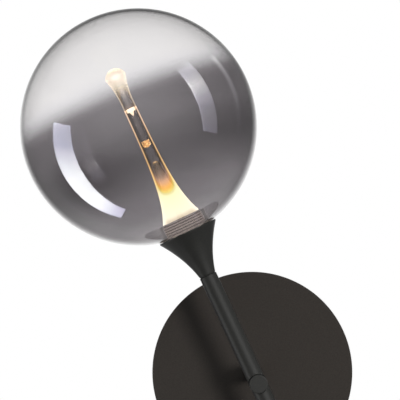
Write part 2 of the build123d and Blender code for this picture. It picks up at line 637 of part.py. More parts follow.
# The globe's wall turns in at the bottom and rises again as a neck that screws on the collar.
def glass_globe():
    inner_r = GLOBE_R - GLOBE_WALL
    lip_level = below_centre(GLOBE_R, LIP_R)
    neck_low = lip_level + NECK_LIP_WIDTH
    neck_top = neck_low + NECK_HEIGHT - NECK_WALL / 2
    neck_middle_r = (NECK_INNER_R + NECK_OUTER_R) / 2
    root_level = below_centre(inner_r, NECK_OUTER_R)
    corner = NECK_LIP_WIDTH * (1 - cos(radians(45)))
    outer_top = (0, GLOBE_CENTRE + GLOBE_R)
    inner_top = (0, GLOBE_CENTRE + inner_r)
    lip_edge = (LIP_R, lip_level)
    lip_middle = (NECK_INNER_R + corner, lip_level + corner)
    bore_low = (NECK_INNER_R, neck_low)
    bore_top = (NECK_INNER_R, neck_top)
    crown = (neck_middle_r, neck_top + NECK_WALL / 2)
    neck_edge = (NECK_OUTER_R, neck_top)
    root = (NECK_OUTER_R, root_level)
    outline = ThreePointArc(outer_top, (GLOBE_R, GLOBE_CENTRE), lip_edge)
    outline += ThreePointArc(lip_edge, lip_middle, bore_low)
    outline += Line(bore_low, bore_top)
    outline += ThreePointArc(bore_top, crown, neck_edge)
    outline += Line(neck_edge, root)
    outline += ThreePointArc(root, (inner_r, GLOBE_CENTRE), inner_top)
    outline += Line(inner_top, outer_top)
    return turned(outline)


def globe_gasket():
    radii = (LIP_R, (LIP_R + GASKET_OUTER_R) / 2, GASKET_OUTER_R)
    inner_edge, middle, outer_edge = [(radius, below_centre(GASKET_DISH_R, radius)) for radius in radii]
    dish = ThreePointArc(inner_edge, middle, outer_edge)
    foot = Polyline(outer_edge, (GASKET_OUTER_R, GASKET_SEAT), (LIP_R, GASKET_SEAT), inner_edge)
    return turned(dish + foot)


def led_driver():
    case = block(0, DRIVER_OFFSET, DRIVER_REAR, PAN_FLOOR, DRIVER_LENGTH, DRIVER_WIDTH)
    case = fillet(case.edges().filter_by(Axis.Z) + case.edges().group_by(Axis.Z)[0], DRIVER_EDGE_RADIUS)
    for side, place in zip((-1, 1), DRIVER_SCREW_PLACES):
        ear_low = PAN_FLOOR - DRIVER_EAR_THICKNESS
        reach = DRIVER_EAR_LENGTH + DRIVER_EDGE_RADIUS
        ear_x = side * (DRIVER_LENGTH / 2 + DRIVER_EAR_LENGTH - reach / 2)
        ear = block(ear_x, DRIVER_OFFSET, ear_low, PAN_FLOOR, reach, DRIVER_EAR_WIDTH)
        case += ear
        case -= place * disc(DRIVER_SCREW_DIAMETER + 2 * FIT, ear_low, PAN_FLOOR)
    return case


def driver_screws():
    seat = PAN_FLOOR - DRIVER_EAR_THICKNESS
    tip = HOUSING_DEPTH - FIT
    head = (DRIVER_SCREW_HEAD_DIAMETER, DRIVER_SCREW_HEAD_HEIGHT)
    screw = slotted_screw(DRIVER_SCREW_DIAMETER, *head, tip, seat)
    return [place * screw for place in DRIVER_SCREW_PLACES]


BLOCK_SCREW_TIP = BLOCK_ENTRY_LEVEL - LEAD_DIAMETER / 2
BLOCK_BOTTOM_Y = BLOCK_TOP_Y - BLOCK_WIDTH
BLOCK_SCREW_ROWS = (BLOCK_TOP_Y - BLOCK_SCREW_INSET, BLOCK_BOTTOM_Y + BLOCK_SCREW_INSET)


def terminal_block():
    body = block(-BLOCK_OFFSET_X, -BLOCK_OFFSET_Y, BLOCK_REAR, PAN_FLOOR, BLOCK_LENGTH, BLOCK_WIDTH)
    for x in POLE_X:
        body -= along_minus_y(x, BLOCK_ENTRY_LEVEL, BLOCK_TOP_Y, BLOCK_BOTTOM_Y, BLOCK_ENTRY_DIAMETER)
        for y in BLOCK_SCREW_ROWS:
            body -= Pos(x, y, 0) * disc(BLOCK_SCREW_DIAMETER + 2 * FIT, BLOCK_REAR, BLOCK_ENTRY_LEVEL)
    return body


def terminal_screws():
    screw = disc(BLOCK_SCREW_DIAMETER, BLOCK_REAR, BLOCK_SCREW_TIP)
    slot_floor = BLOCK_REAR + SLOT_DRIVE_DEPTH
    screw -= block(0, 0, BLOCK_REAR, slot_floor, BLOCK_SCREW_DIAMETER, SLOT_DRIVE_WIDTH)
    return [Pos(x, y, 0) * screw for x in POLE_X for y in BLOCK_SCREW_ROWS]


def mains_lead(x):
    """A lead from one pole of the terminal block up to the driver, bowed clear of the swivel."""
    start = BLOCK_TOP_Y - LEAD_IN_BLOCK
    low_bend = BLOCK_TOP_Y + LEAD_BULGE
    high_bend = DRIVER_BOTTOM_Y - LEAD_BULGE
    span = high_bend - low_bend
    level = BLOCK_ENTRY_LEVEL
    route = [
        (x, start, level),
        (x, low_bend, level),
        (x - LEAD_BULGE, low_bend + span / 3, level - LEAD_BULGE),
        (x - LEAD_BULGE, high_bend - span / 3, level - LEAD_BULGE),
        (x, high_bend, level),
        (x, DRIVER_BOTTOM_Y, level),
    ]
    return swept(LEAD_DIAMETER, route, 2 * LEAD_BULGE)


def earth_lead():
    x = POLE_X[2]
    start = BLOCK_TOP_Y - LEAD_IN_BLOCK
    barrel_end = BARREL_START_Y - TONGUE_BARREL_WALL
    route = [
        (x, start, BLOCK_ENTRY_LEVEL),
        (x, BLOCK_TOP_Y + LEAD_DIAMETER, BLOCK_ENTRY_LEVEL),
        (-EARTH_SCREW_OFFSET, BARREL_END_Y - LEAD_DIAMETER, BARREL_LEVEL),
        (-EARTH_SCREW_OFFSET, barrel_end, BARREL_LEVEL),
    ]
    return swept(LEAD_DIAMETER, route, LEAD_BULGE)


def driver_lead():
    level = CABLE_JOIN - CABLE_REAR_BEND
    route = [(0, 0, CABLE_JOIN), (0, 0, level), (0, DRIVER_BOTTOM_Y, level)]
    return swept(CABLE_DIAMETER, route, CABLE_REAR_BEND - FIT)


def arm_lead():
    rear = ARM_LEVEL - CABLE_JOIN
    route = [(0, rear, 0), (0, 0, 0), (0, 0, BOARD_SEAT)]
    return swept(CABLE_DIAMETER, route, CABLE_HUB_BEND)


# Pieces fixed to the wall
save("front_plate", WALL, front_plate())
save("back_housing", WALL, back_housing())
save("mounting_bracket", WALL, mounting_bracket())
save("side_screws", WALL, *side_screws())
save("earth_screw", WALL, earth_screw())
save("earth_tongue", WALL, earth_tongue())
save("swivel_bushing", WALL, swivel_bushing())
save("plate_studs", WALL, *plate_studs())
save("plate_nuts", WALL, *plate_nuts())
save("stop_pin", WALL, stop_pin())
save("led_driver", WALL, led_driver())
save("driver_screws", WALL, *driver_screws())
save("terminal_block", WALL, terminal_block())
save("terminal_screws", WALL, *terminal_screws())
save("live_lead", WALL, mains_lead(POLE_X[0]))
save("neutral_lead", WALL, mains_lead(POLE_X[1]))
save("earth_lead", WALL, earth_lead())
save("driver_lead", WALL, driver_lead())

# Pieces that swivel with the post
save("post", WALL, post())
save("friction_washer", WALL, friction_washer())
save("stop_washer", WALL, stop_washer())
save("spring_washer", WALL, spring_washer())
save("swivel_nut", WALL, swivel_nut())
save("cross_stud", ARM, cross_stud())
save("arm_tube", ARM, arm_tube())
save("tail_tube", ARM, tail_tube())
save("tail_cap", ARM, tail_cap())
save("cup_nipple", ARM, cup_nipple())
save("lamp_cup", ARM, lamp_cup())
save("heat_sink", ARM, heat_sink())
save("led_board", ARM, led_board())
save("led_emitter", ARM, led_emitter())
save("board_screws", ARM, *board_screws())
save("guide_collar", ARM, guide_collar())
save("light_guide", ARM, light_guide())
save("guide_tip", ARM, guide_tip())
save("arm_lead", ARM, arm_lead())

# Pieces that come off the collar
save("globe_gasket", ARM, globe_gasket())
save("glass_globe", ARM, glass_globe())
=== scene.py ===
# A wall sconce: a dark round plate, a post with a tube arm across it, and on the arm's upper end a flared
# cup that carries a lit clear trumpet inside a smoke-coated glass globe. Outlines are in millimetres.
import json
import math

import bmesh
import bpy
from mathutils import Matrix, Vector


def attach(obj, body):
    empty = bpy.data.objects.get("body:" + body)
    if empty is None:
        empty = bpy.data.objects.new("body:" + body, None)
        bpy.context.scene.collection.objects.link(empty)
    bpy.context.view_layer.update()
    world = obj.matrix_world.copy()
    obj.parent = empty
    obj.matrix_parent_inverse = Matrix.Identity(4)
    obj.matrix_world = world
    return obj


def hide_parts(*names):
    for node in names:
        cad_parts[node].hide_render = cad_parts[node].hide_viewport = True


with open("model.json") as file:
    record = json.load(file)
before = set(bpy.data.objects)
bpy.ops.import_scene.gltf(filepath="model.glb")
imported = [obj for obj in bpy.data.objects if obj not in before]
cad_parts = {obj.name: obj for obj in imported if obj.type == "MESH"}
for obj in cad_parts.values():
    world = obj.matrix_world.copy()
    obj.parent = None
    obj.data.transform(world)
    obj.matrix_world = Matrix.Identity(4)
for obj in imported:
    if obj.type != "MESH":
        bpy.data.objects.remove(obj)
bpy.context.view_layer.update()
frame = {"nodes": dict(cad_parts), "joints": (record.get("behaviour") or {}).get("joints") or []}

# Wall bracket: a folded strap of zinc-plated sheet steel, screwed to the wall box. The plating gives the eye
# a soft silver with pale clouds a few millimetres across, drawn out along the strap by the rolling.
MM = 0.001


def linear(colour):
    """Linear red, green, blue and alpha of an sRGB hex colour."""
    shares = [int(colour[start:start + 2], 16) / 255 for start in (1, 3, 5)]
    return (*[s / 12.92 if s <= 0.04045 else ((s + 0.055) / 1.055) ** 2.4 for s in shares], 1.0)


def plug(tree, node, inputs):
    """Sets a node's inputs: a socket is linked and anything else is the value."""
    for key, value in inputs.items():
        if isinstance(value, bpy.types.NodeSocket):
            tree.links.new(value, node.inputs[key])
        else:
            node.inputs[key].default_value = value


def add(tree, kind, inputs=None, stops=(), **settings):
    """Adds a node with its settings, inputs and colour stops, and gives its outputs."""
    node = tree.nodes.new(kind)
    for name, value in settings.items():
        setattr(node, name, value)
    plug(tree, node, inputs or {})
    for number, (position, colour) in enumerate(stops):
        ramp = node.color_ramp.elements
        stop = ramp[number] if number < len(ramp) else ramp.new(position)
        stop.position = position
        stop.color = linear(colour)
    return node.outputs


def blank(name):
    """A new material, its node tree and its shader."""
    made = bpy.data.materials.new(name)
    made.use_nodes = True
    return made, made.node_tree, made.node_tree.nodes["Principled BSDF"]


def solid(name, shades, grain, roughness, relief, metal=0.0, stretch=(1, 1, 1), **inputs):
    """An opaque surface of two shades in soft spots, with uneven gloss and a relief, and sizes in mm."""
    made, tree, shader = blank(name)
    fineness = {"Detail": 3.0, "Roughness": 0.6}
    dark_spot = 0.3
    pale_spot = 0.7
    place = add(tree, "ShaderNodeTexCoord")["Object"]
    drawn = add(tree, "ShaderNodeMapping", {"Vector": place, "Scale": stretch})["Vector"]
    spots = add(tree, "ShaderNodeTexNoise", {"Vector": drawn, "Scale": 1 / (grain * MM), **fineness})["Fac"]
    stops = [(dark_spot, shades[0]), (pale_spot, shades[1])]
    colour = add(tree, "ShaderNodeValToRGB", {"Fac": spots}, stops)["Color"]
    spread = {"Value": spots, "From Min": dark_spot, "From Max": pale_spot,
              "To Min": roughness[0], "To Max": roughness[1]}
    rough = add(tree, "ShaderNodeMapRange", spread)["Result"]
    raised = {"Height": spots, "Strength": 1.0, "Distance": relief * MM}
    bump = add(tree, "ShaderNodeBump", raised)["Normal"]
    looks = {"Base Color": colour, "Roughness": rough, "Normal": bump, "Metallic": metal}
    plug(tree, shader, {**looks, **inputs})
    return made


def paint(finish, *nodes):
    """Gives CAD nodes a finish."""
    for node in nodes:
        for slot in frame["nodes"][node].material_slots:
            slot.material = finish


zinc = solid("zinc_plated_steel", ("#aeb2b6", "#cfd2d4"), grain=3.0, roughness=(0.26, 0.4), relief=0.006,
             metal=1.0, stretch=(0.3, 1, 1))
paint(zinc, "mounting_bracket")

# Earth screw and tongue: a green-dyed zinc screw and a crimped brass tongue under its head, which bond the
# metal parts to the supply's earth wire. The dye is a deep green with a metal's shine under it, and the
# bare brass a warm, slightly blotched yellow.
green_zinc = solid("green_dyed_zinc", ("#1f6b3a", "#2f8a4c"), grain=1.0, roughness=(0.3, 0.42),
                   relief=0.004, metal=0.8)
brass = solid("brass", ("#b08d45", "#cba95c"), grain=1.5, roughness=(0.22, 0.36), relief=0.004, metal=1.0)
paint(green_zinc, "earth_screw")
paint(brass, "earth_tongue")

# Back housing: a shallow drawn steel pan, dipped in matt black paint, with a blackened screw in each side
# that reaches the bracket's tabs. The paint is a flat soft black, and the blackened steel shines dully.
housing_paint = solid("matt_black_dip_paint", ("#262423", "#2e2c2a"), grain=1.2, roughness=(0.6, 0.72),
                      relief=0.012)
blackened = solid("blackened_steel", ("#1c1b1b", "#2a2929"), grain=0.8, roughness=(0.38, 0.5), relief=0.006,
                  metal=0.6)
paint(housing_paint, "back_housing")
paint(blackened, "side_screws")

# Front plate: a flat laser-cut steel disc with a softened edge. Its warm black powder coat has the faint
# orange peel of baked powder, under a millimetre across, and hardly a sheen. What is drawn on the wall, here
# and below, is drawn about a z axis that comes off it.
ON_WALL = Matrix.Rotation(math.radians(90), 4, "X") @ Matrix.Scale(MM, 4)
crease = math.radians(35)


def on_axis(node, place):
    """Lowest and highest level and smallest and largest radius of a CAD node about a placed z axis."""
    back = place.inverted()
    points = [back @ vertex.co for vertex in frame["nodes"][node].data.vertices]
    levels = [point.z for point in points]
    radii = [point.xy.length for point in points]
    return min(levels), max(levels), min(radii), max(radii)


def rounded(*corners):
    """An outline from corners of radius, level and rounding, with points past it that hold the flats."""
    steps = 5
    hold = 1.8
    outline = []
    for number, (radius, level, cut) in enumerate(corners):
        corner = Vector((radius, level))
        if not cut:
            outline.append(corner)
            continue
        back = (Vector(corners[number - 1][:2]) - corner).normalized() * cut
        on = (Vector(corners[(number + 1) % len(corners)][:2]) - corner).normalized() * cut
        outline.append(corner + back * hold)
        for step in range(steps + 1):
            t = step / steps
            outline.append(corner + back * (1 - t) ** 2 + on * t**2)
        outline.append(corner + on * hold)
    return outline


def lathe(outline, steps=128, flats=None):
    """Turns a closed outline of radius and level about z, and cuts it to a hexagon of half width flats."""
    pole = 1e-6
    sixth = math.pi / 3
    around = list(zip(outline, outline[1:] + outline[:1]))
    if sum(a[0] * b[1] - b[0] * a[1] for a, b in around) < 0:
        outline = outline[::-1]
    shape = bmesh.new()
    rings = []
    for radius, level in outline:
        ring = []
        for step in range(steps if radius > pole else 1):
            angle = 2 * math.pi * step / steps
            reach = radius
            if flats:
                off_flat = (angle + sixth / 2) % sixth - sixth / 2
                reach = min(radius, flats / math.cos(off_flat))
            ring.append(shape.verts.new((reach * math.cos(angle), reach * math.sin(angle), level)))
        rings.append(ring)
    for near, far in zip(rings, rings[1:] + rings[:1]):
        for step in range(steps if len(near) + len(far) > 2 else 0):
            after = (step + 1) % steps
            corners = [near[step % len(near)], near[after % len(near)],
                       far[after % len(far)], far[step % len(far)]]
            shape.faces.new(dict.fromkeys(corners))
    return shape


def smooth_mesh(name, shape, place=Matrix.Identity(4)):
    """A mesh of a bmesh, put in place, smooth but for its sharp edges."""
    mesh = bpy.data.meshes.new(name)
    shape.transform(place)
    shape.to_mesh(mesh)
    shape.free()
    mesh.shade_smooth()
    mesh.set_sharp_from_angle(angle=crease)
    return mesh


def piece(name, mesh, body, slot, *nodes):
    """An object of a mesh that rides on a body and stands for CAD nodes."""
    made = bpy.data.objects.new(name, mesh)
    bpy.context.scene.collection.objects.link(made)
    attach(made, body)
    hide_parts(*nodes)


def turned(name, outline, place, finish, body, slot, *nodes, steps=128, flats=None):
    """A turned piece of one finish."""
    mesh = smooth_mesh(name, lathe(outline, steps, flats), place)
    mesh.materials.append(finish)
    piece(name, mesh, body, slot, *nodes)


dull_shine = {"Specular IOR Level": 0.15}
powder = solid("black_powder_coat", ("#322e2b", "#393531"), grain=0.9, roughness=(0.5, 0.58), relief=0.010,
               **dull_shine)
low, plate_face, inner, outer = on_axis("front_plate", ON_WALL)
plate_edge = 0.6
hole_edge = 0.25
outline = rounded((inner, low, hole_edge), (outer, low, hole_edge),
                  (outer, plate_face, plate_edge), (inner, plate_face, hole_edge))
turned("round_plate", outline, ON_WALL, powder, "base", "black_powder_coat", "front_plate", steps=256)

# Swivel: a brass bushing clamped behind the plate by three nuts on welded studs, with a stop pin in its
# flange. An acetal washer, two steel ones and a thin nut hold the post in it with some friction. The acetal
# is a waxy off-white, and the spring steel darker and smoother than the zinc.
acetal = solid("natural_acetal", ("#dcdad2", "#e6e4dd"), grain=6.0, roughness=(0.36, 0.44), relief=0.004)
spring_steel = solid("spring_steel", ("#74777b", "#8d9093"), grain=1.5, roughness=(0.24, 0.34),
                     relief=0.003, metal=1.0)
paint(brass, "swivel_bushing")
paint(acetal, "friction_washer")
paint(zinc, "plate_studs", "stop_pin", "stop_washer")
paint(spring_steel, "spring_washer")
half_flat = math.pi / 6


def nut_outline(low, high, bore, half_width):
    """A nut's blank: a ring whose two faces are chamfered down to just inside the flats."""
    face_share = 0.97
    lead_share = 0.06
    chamfer = math.radians(30)
    corner = half_width / math.cos(half_flat)
    face = half_width * face_share
    fall = (corner - face) * math.tan(chamfer)
    lead = bore * lead_share
    return [(bore, low + lead), (bore + lead, low), (face, low), (corner, low + fall),
            (corner, high - fall), (face, high), (bore + lead, high), (bore, high - lead)]


def grown(mesh, tree, **values):
    """The mesh that a Geometry Nodes tree makes of a mesh, with the tree's named inputs set."""
    holder = bpy.data.objects.new(mesh.name + "_holder", mesh)
    bpy.context.scene.collection.objects.link(holder)
    modifier = holder.modifiers.new(tree.name, "NODES")
    modifier.node_group = tree
    for socket in tree.interface.items_tree:
        if socket.name in values:
            modifier[socket.identifier] = values[socket.name]
    depsgraph = bpy.context.evaluated_depsgraph_get()
    made = bpy.data.meshes.new_from_object(holder.evaluated_get(depsgraph))
    bpy.data.objects.remove(holder)
    return made


def repeated():
    """A tree that sets copies of a mesh round a circle, along a step, or both."""
    tree = bpy.data.node_groups.new("copies_round_and_along", "GeometryNodeTree")
    for name, kind in (("One", "Geometry"), ("Count", "Int"), ("Circle radius", "Float"),
                       ("First angle", "Float"), ("Step", "Vector"), ("Finish", "Material")):
        tree.interface.new_socket(name, in_out="INPUT", socket_type="NodeSocket" + kind)
    tree.interface.new_socket("Set", in_out="OUTPUT", socket_type="NodeSocketGeometry")
    given = add(tree, "NodeGroupInput")
    index = add(tree, "GeometryNodeInputIndex")["Index"]
    share = add(tree, "ShaderNodeMath", {0: 2 * math.pi, 1: given["Count"]}, operation="DIVIDE")["Value"]
    turned_on = {0: index, 1: share, 2: given["First angle"]}
    turn = add(tree, "ShaderNodeMath", turned_on, operation="MULTIPLY_ADD")["Value"]
    cosine = add(tree, "ShaderNodeMath", {0: turn}, operation="COSINE")["Value"]
    sine = add(tree, "ShaderNodeMath", {0: turn}, operation="SINE")["Value"]
    on_circle = add(tree, "ShaderNodeCombineXYZ", {"X": cosine, "Y": sine})["Vector"]
    scaled = {0: on_circle, "Scale": given["Circle radius"]}
    round_it = add(tree, "ShaderNodeVectorMath", scaled, operation="SCALE")["Vector"]
    stepped = {0: given["Step"], "Scale": index}
    along = add(tree, "ShaderNodeVectorMath", stepped, operation="SCALE")["Vector"]
    spot = add(tree, "ShaderNodeVectorMath", {0: round_it, 1: along}, operation="ADD")["Vector"]
    points = add(tree, "GeometryNodePoints", {"Count": given["Count"], "Position": spot})[0]
    euler = add(tree, "ShaderNodeCombineXYZ", {"Z": turn})["Vector"]
    facing = add(tree, "FunctionNodeEulerToRotation", {"Euler": euler})["Rotation"]
    placed = {"Points": points, "Instance": given["One"], "Rotation": facing}
    instances = add(tree, "GeometryNodeInstanceOnPoints", placed)["Instances"]
    real = add(tree, "GeometryNodeRealizeInstances", {"Geometry": instances})["Geometry"]
    done = add(tree, "GeometryNodeSetMaterial", {"Geometry": real, "Material": given["Finish"]})["Geometry"]
    add(tree, "NodeGroupOutput", {"Set": done})
    return tree


copies = repeated()
low, high, inner, outer = on_axis("plate_nuts", ON_WALL)
stud_circle = (inner + outer) / 2
nut_count = 3
plate_nut_half_width = 3.5
stud_radius = 2.05
outline = nut_outline(low, high, stud_radius, plate_nut_half_width)
nut = lathe(outline, steps=48, flats=plate_nut_half_width)
mesh = grown(smooth_mesh("plate_nut", nut), copies, **{
    "Count": nut_count, "Circle radius": stud_circle, "First angle": math.pi / 2, "Step": (0, 0, 0),
    "Finish": zinc})
mesh.transform(ON_WALL)
piece("hex_nuts", mesh, "base", "zinc_steel", "plate_nuts")
low, high, inner, outer = on_axis("swivel_nut", ON_WALL)
thin_nut_half_width = outer * math.cos(half_flat)
outline = nut_outline(low, high, inner, thin_nut_half_width)
turned("thin_nut", outline, ON_WALL, zinc, "arm", "zinc_steel", "swivel_nut",
       steps=96, flats=thin_nut_half_width)

# Post: a turned steel bar with a thinner spigot that runs through plate and bushing, drilled for the cable
# up to the arm. Its nose is softened, and its powder coat is a more neutral black than the plate's and a
# little smoother, so that light lies on it in soft bands.
arm_powder = solid("neutral_black_powder_coat", ("#282827", "#2e2e2c"), grain=0.9, roughness=(0.36, 0.44),
                   relief=0.006, **dull_shine)
joints = {joint["name"]: joint for joint in frame["joints"]}
hub = Vector(joints["arm_swivel"]["pos_m"])
arm_level = -hub.y / MM
low, high, _, post_r = on_axis("post", ON_WALL)
plate_gap = 0.1
shoulder = plate_face + plate_gap
spigot = 5.0
cable_bore = 2.5
bore_edge = 0.2
spigot_edge = 0.4
shoulder_edge = 0.2
nose_edge = 0.5
outline = rounded((cable_bore, low, bore_edge), (spigot, low, spigot_edge), (spigot, shoulder, 0),
                  (post_r, shoulder, shoulder_edge), (post_r, high, nose_edge), (0, high, 0),
                  (0, arm_level, 0), (cable_bore, arm_level, 0))
turned("post_bar", outline, ON_WALL, arm_powder, "arm", "black_powder_coat", "post")

# Arm: two lengths of powder-coated lamp pipe, notched to fit the post and screwed on a stud through it, the
# lower one closed by a domed plug. What is drawn on the arm, here and below, is drawn about a z axis that
# runs up it from the post, with y to the wall.
up_arm = Vector(joints["globe_rise"]["axis"]).normalized()
to_wall = Vector((0, 1, 0))
across_arm = to_wall.cross(up_arm)
arm_axes = Matrix((across_arm, to_wall, up_arm)).transposed().to_4x4()
ON_ARM = Matrix.Translation(hub) @ arm_axes @ Matrix.Scale(MM, 4)
ON_TAIL = ON_ARM @ Matrix.Rotation(math.pi, 4, "Y")
paint(zinc, "cross_stud")
_, arm_end, _, tube_r = on_axis("arm_tube", ON_ARM)
tail_end = on_axis("tail_tube", ON_ARM)[0]
tube_bore = 3.05
notch_gap = 0.15
notch_r = post_r + notch_gap
notched_length = 1.0
mouth_edge = 0.35
seam_edge = 0.4
end_bore_edge = 0.15
for name, far, place, node in (("upper_tube", arm_end, ON_ARM, "arm_tube"),
                               ("lower_tube", -tail_end, ON_TAIL, "tail_tube")):
    outline = rounded((tube_bore, 0, 0), (tube_r, 0, mouth_edge), (tube_r, far, seam_edge),
                      (tube_bore, far, end_bore_edge))
    shape = lathe(outline)
    for vertex in shape.verts:
        if vertex.co.z < notched_length:
            vertex.co.z += math.sqrt(notch_r**2 - vertex.co.x**2)
    mesh = smooth_mesh(name, shape, place)
    mesh.materials.append(arm_powder)
    piece(name, mesh, "arm", "black_powder_coat", node)


def arc(radius, level, bend, start, end, steps):
    """Points on a circle about a radius and level, between two angles from straight up the axis."""
    angles = [start + (end - start) * step / steps for step in range(steps + 1)]
    return [(radius + bend * math.sin(angle), level + bend * math.cos(angle)) for angle in angles]


def dome(radius, rise):
    """Radius of the sphere that a dome is cut from, and half its angle, from the dome's radius and rise."""
    bend = (radius**2 + rise**2) / (2 * rise)
    return bend, math.asin(min(1, radius / bend))


low, high, _, outer = on_axis("tail_cap", ON_ARM)
fit = 0.05
dome_steps = 16
bend, half_angle = dome(outer, tail_end - low)
outline = arc(0, low + bend, bend, math.pi, math.pi - half_angle, dome_steps)
outline += [(tube_bore - fit, tail_end), (tube_bore - fit, high), (0, high)]
turned("domed_plug", outline, ON_ARM, arm_powder, "arm", "black_powder_coat", "tail_cap")

# Lamp cup: a turned aluminium flare on a nipple in the arm's end, powder coated outside. Its thick wall is
# stepped inside for the heat sink, a thin lip stands on its rim, and the seat within the lip is left as bare
# satin metal, pale and without a mirror's shine.
satin = solid("satin_anodised_aluminium", ("#efe8e0", "#f7f2eb"), grain=0.35, roughness=(0.42, 0.52),
              relief=0.002)
paint(zinc, "cup_nipple")


def bezier(points, steps):
    """Points on a Bezier curve through the first and last of its control points of radius and level."""
    order = len(points) - 1
    curve = []
    for step in range(steps + 1):
        t = step / steps
        weights = [math.comb(order, n) * (1 - t) ** (order - n) * t**n for n in range(order + 1)]
        curve.append(tuple(sum(w * point[part] for w, point in zip(weights, points)) for part in (0, 1)))
    return curve


foot, rim, _, rim_r = on_axis("lamp_cup", ON_ARM)
seat, collar_top, _, collar_r = on_axis("guide_collar", ON_ARM)
sink_low = on_axis("heat_sink", ON_ARM)[0]
nipple_top = on_axis("cup_nipple", ON_ARM)[1]
gasket_low, _, gasket_in, gasket_out = on_axis("globe_gasket", ON_ARM)
foot_inset = 0.3
foot_r = tube_r - foot_inset
flare_angle = math.radians(12.4)
flare_steps = 40
bend_level = (foot + rim) / 2
bend_r = foot_r + math.tan(flare_angle) * (bend_level - foot)
flare = bezier([(foot_r, foot), (bend_r, bend_level), (rim_r, rim)], flare_steps)
sink_r = 8.9
sink_depth = 11.0
sink_low_r = 6.2
cable_r = 1.8
flange = 1.5
lip_rise = 0.7
lip_edge = 0.1
sink_step = rim - sink_depth
flange_low = seat - flange
outline = [(tube_bore, foot), (foot_r - seam_edge, foot)] + flare[1:]
outline += [(rim_r, rim + lip_rise - lip_edge), (rim_r - lip_edge, rim + lip_rise)]
outline += [(gasket_out + fit, rim), (gasket_out + fit, gasket_low), (collar_r + fit, gasket_low)]
outline += [(collar_r + fit, flange_low), (sink_r + fit, flange_low), (sink_r + fit, sink_step)]
outline += [(sink_low_r + fit, sink_step), (sink_low_r + fit, sink_low), (cable_r, sink_low)]
outline += [(cable_r, nipple_top), (tube_bore, nipple_top)]
mesh = smooth_mesh("flared_cup", lathe(outline, steps=192), ON_ARM)
mesh.materials.append(arm_powder)
mesh.materials.append(satin)
slack = 0.01
underside = -0.1
for face in mesh.polygons:
    spot = ON_ARM.inverted() @ face.center
    in_seat = spot.z > gasket_low - slack and spot.xy.length < rim_r - lip_edge
    face.material_index = int(in_seat and face.normal.dot(up_arm) > underside)
piece("flared_cup", mesh, "arm", "black_powder_coat", "lamp_cup")

# Light source: an LED board on a turned aluminium heat sink in the cup, held by two screws. The turned metal
# is a bright grey with fine marks, the board a smooth white solder mask and the emitter a matt yellow
# phosphor.
turned_aluminium = solid("turned_aluminium", ("#a9abad", "#c5c7c8"), grain=0.5, roughness=(0.25, 0.38),
                         relief=0.004, metal=1.0)
board_mask = solid("white_solder_mask", ("#e4e4e0", "#efefec"), grain=2.0, roughness=(0.3, 0.4),
                   relief=0.003)
phosphor = solid("yellow_phosphor", ("#e6c34a", "#f0d25e"), grain=0.4, roughness=(0.5, 0.6), relief=0.004)
paint(turned_aluminium, "heat_sink")
paint(board_mask, "led_board")
paint(phosphor, "led_emitter")
paint(zinc, "board_screws")

# Collar: a satin aluminium sleeve that stands out of the cup and carries the trumpet. Fine grooves run
# round it, which the globe's neck screws over. The ribs between them have a warm glow painted on, a painted
# stand-in for the lamplight, and the grooves have a darker colour with a dimmer painted glow, painted shade.
glow_painted_satin = solid("lit_satin_aluminium", ("#efe8e0", "#f7f2eb"), grain=0.35, roughness=(0.42, 0.52),
                  relief=0.002, **{"Emission Color": linear("#a0948d"), "Emission Strength": 1.0})
shade_painted_satin = solid("dull_satin_aluminium", ("#6a635d", "#746d67"), grain=0.35, roughness=(0.42, 0.52),
                   relief=0.002, **{"Emission Color": linear("#6c6560"), "Emission Strength": 1.0})
collar_wall = 2.4
collar_bore = collar_r - collar_wall
collar_steps = 160
groove_depth = 0.4
groove = 0.6
rib_count = 7
rib_edge = 0.12
rib_sink = 0.1
top_gap = 0.1
pitch = (collar_top - rim) / rib_count
root = collar_r - groove_depth
sleeve_top = collar_top - top_gap
sleeve = lathe([(collar_bore, seat), (collar_r, seat), (collar_r, rim), (root, rim), (root, sleeve_top),
                (collar_bore, sleeve_top)], collar_steps)
rib_low = rim + groove / 2
rib_high = rib_low + pitch - groove
rib = lathe(rounded((root - rib_sink, rib_low, 0), (collar_r, rib_low, rib_edge),
                    (collar_r, rib_high, rib_edge), (root - rib_sink, rib_high, 0)), collar_steps)
ribs = grown(smooth_mesh("collar_rib", rib), copies, **{
    "Count": rib_count, "Circle radius": 0.0, "First angle": 0.0, "Step": (0, 0, pitch),
    "Finish": glow_painted_satin})
both = bmesh.new()
both.from_mesh(ribs)
both.from_mesh(smooth_mesh("collar_sleeve", sleeve))
mesh = smooth_mesh("grooved_collar", both, ON_ARM)
mesh.materials.append(glow_painted_satin)
mesh.materials.append(shade_painted_satin)
# The ribs take the painted glow, and the sleeve between them takes the painted groove shade.
for face in mesh.polygons:
    face.material_index = int(face.index >= len(ribs.polygons))
piece("grooved_collar", mesh, "arm", "collar_aluminium", "guide_collar")


# Trumpet: a clear acrylic horn that stands on the collar, hollow at the foot over the emitter and drilled
# from the top. Light runs up inside it, so its edges shine and its foot is filled with a glow that goes from
# white through yellow to a fading orange. A dark amber tint in a band just inside its edges is painted
# shade, which makes its body look darker than the room behind it.
def level_share(tree, low, high, way=up_arm):
    """How far along a way, usually up the arm, a point is, from 0 at one level to 1 at another, in mm."""
    place = add(tree, "ShaderNodeTexCoord")["Object"]
    level = add(tree, "ShaderNodeVectorMath", {0: place, 1: way}, operation="DOT_PRODUCT")["Value"]
    limits = {"Value": level, "From Min": low * MM, "From Max": high * MM}
    return add(tree, "ShaderNodeMapRange", limits)["Result"]


def edge_share(tree, low, high, start=0.0, end=1.0):
    """A value that goes from start to end as a surface turns edge-on, between two facing shares."""
    facing = add(tree, "ShaderNodeLayerWeight", {"Blend": 0.5})["Facing"]
    limits = {"Value": facing, "From Min": low, "From Max": high, "To Min": start, "To Max": end}
    return add(tree, "ShaderNodeMapRange", limits)["Result"]


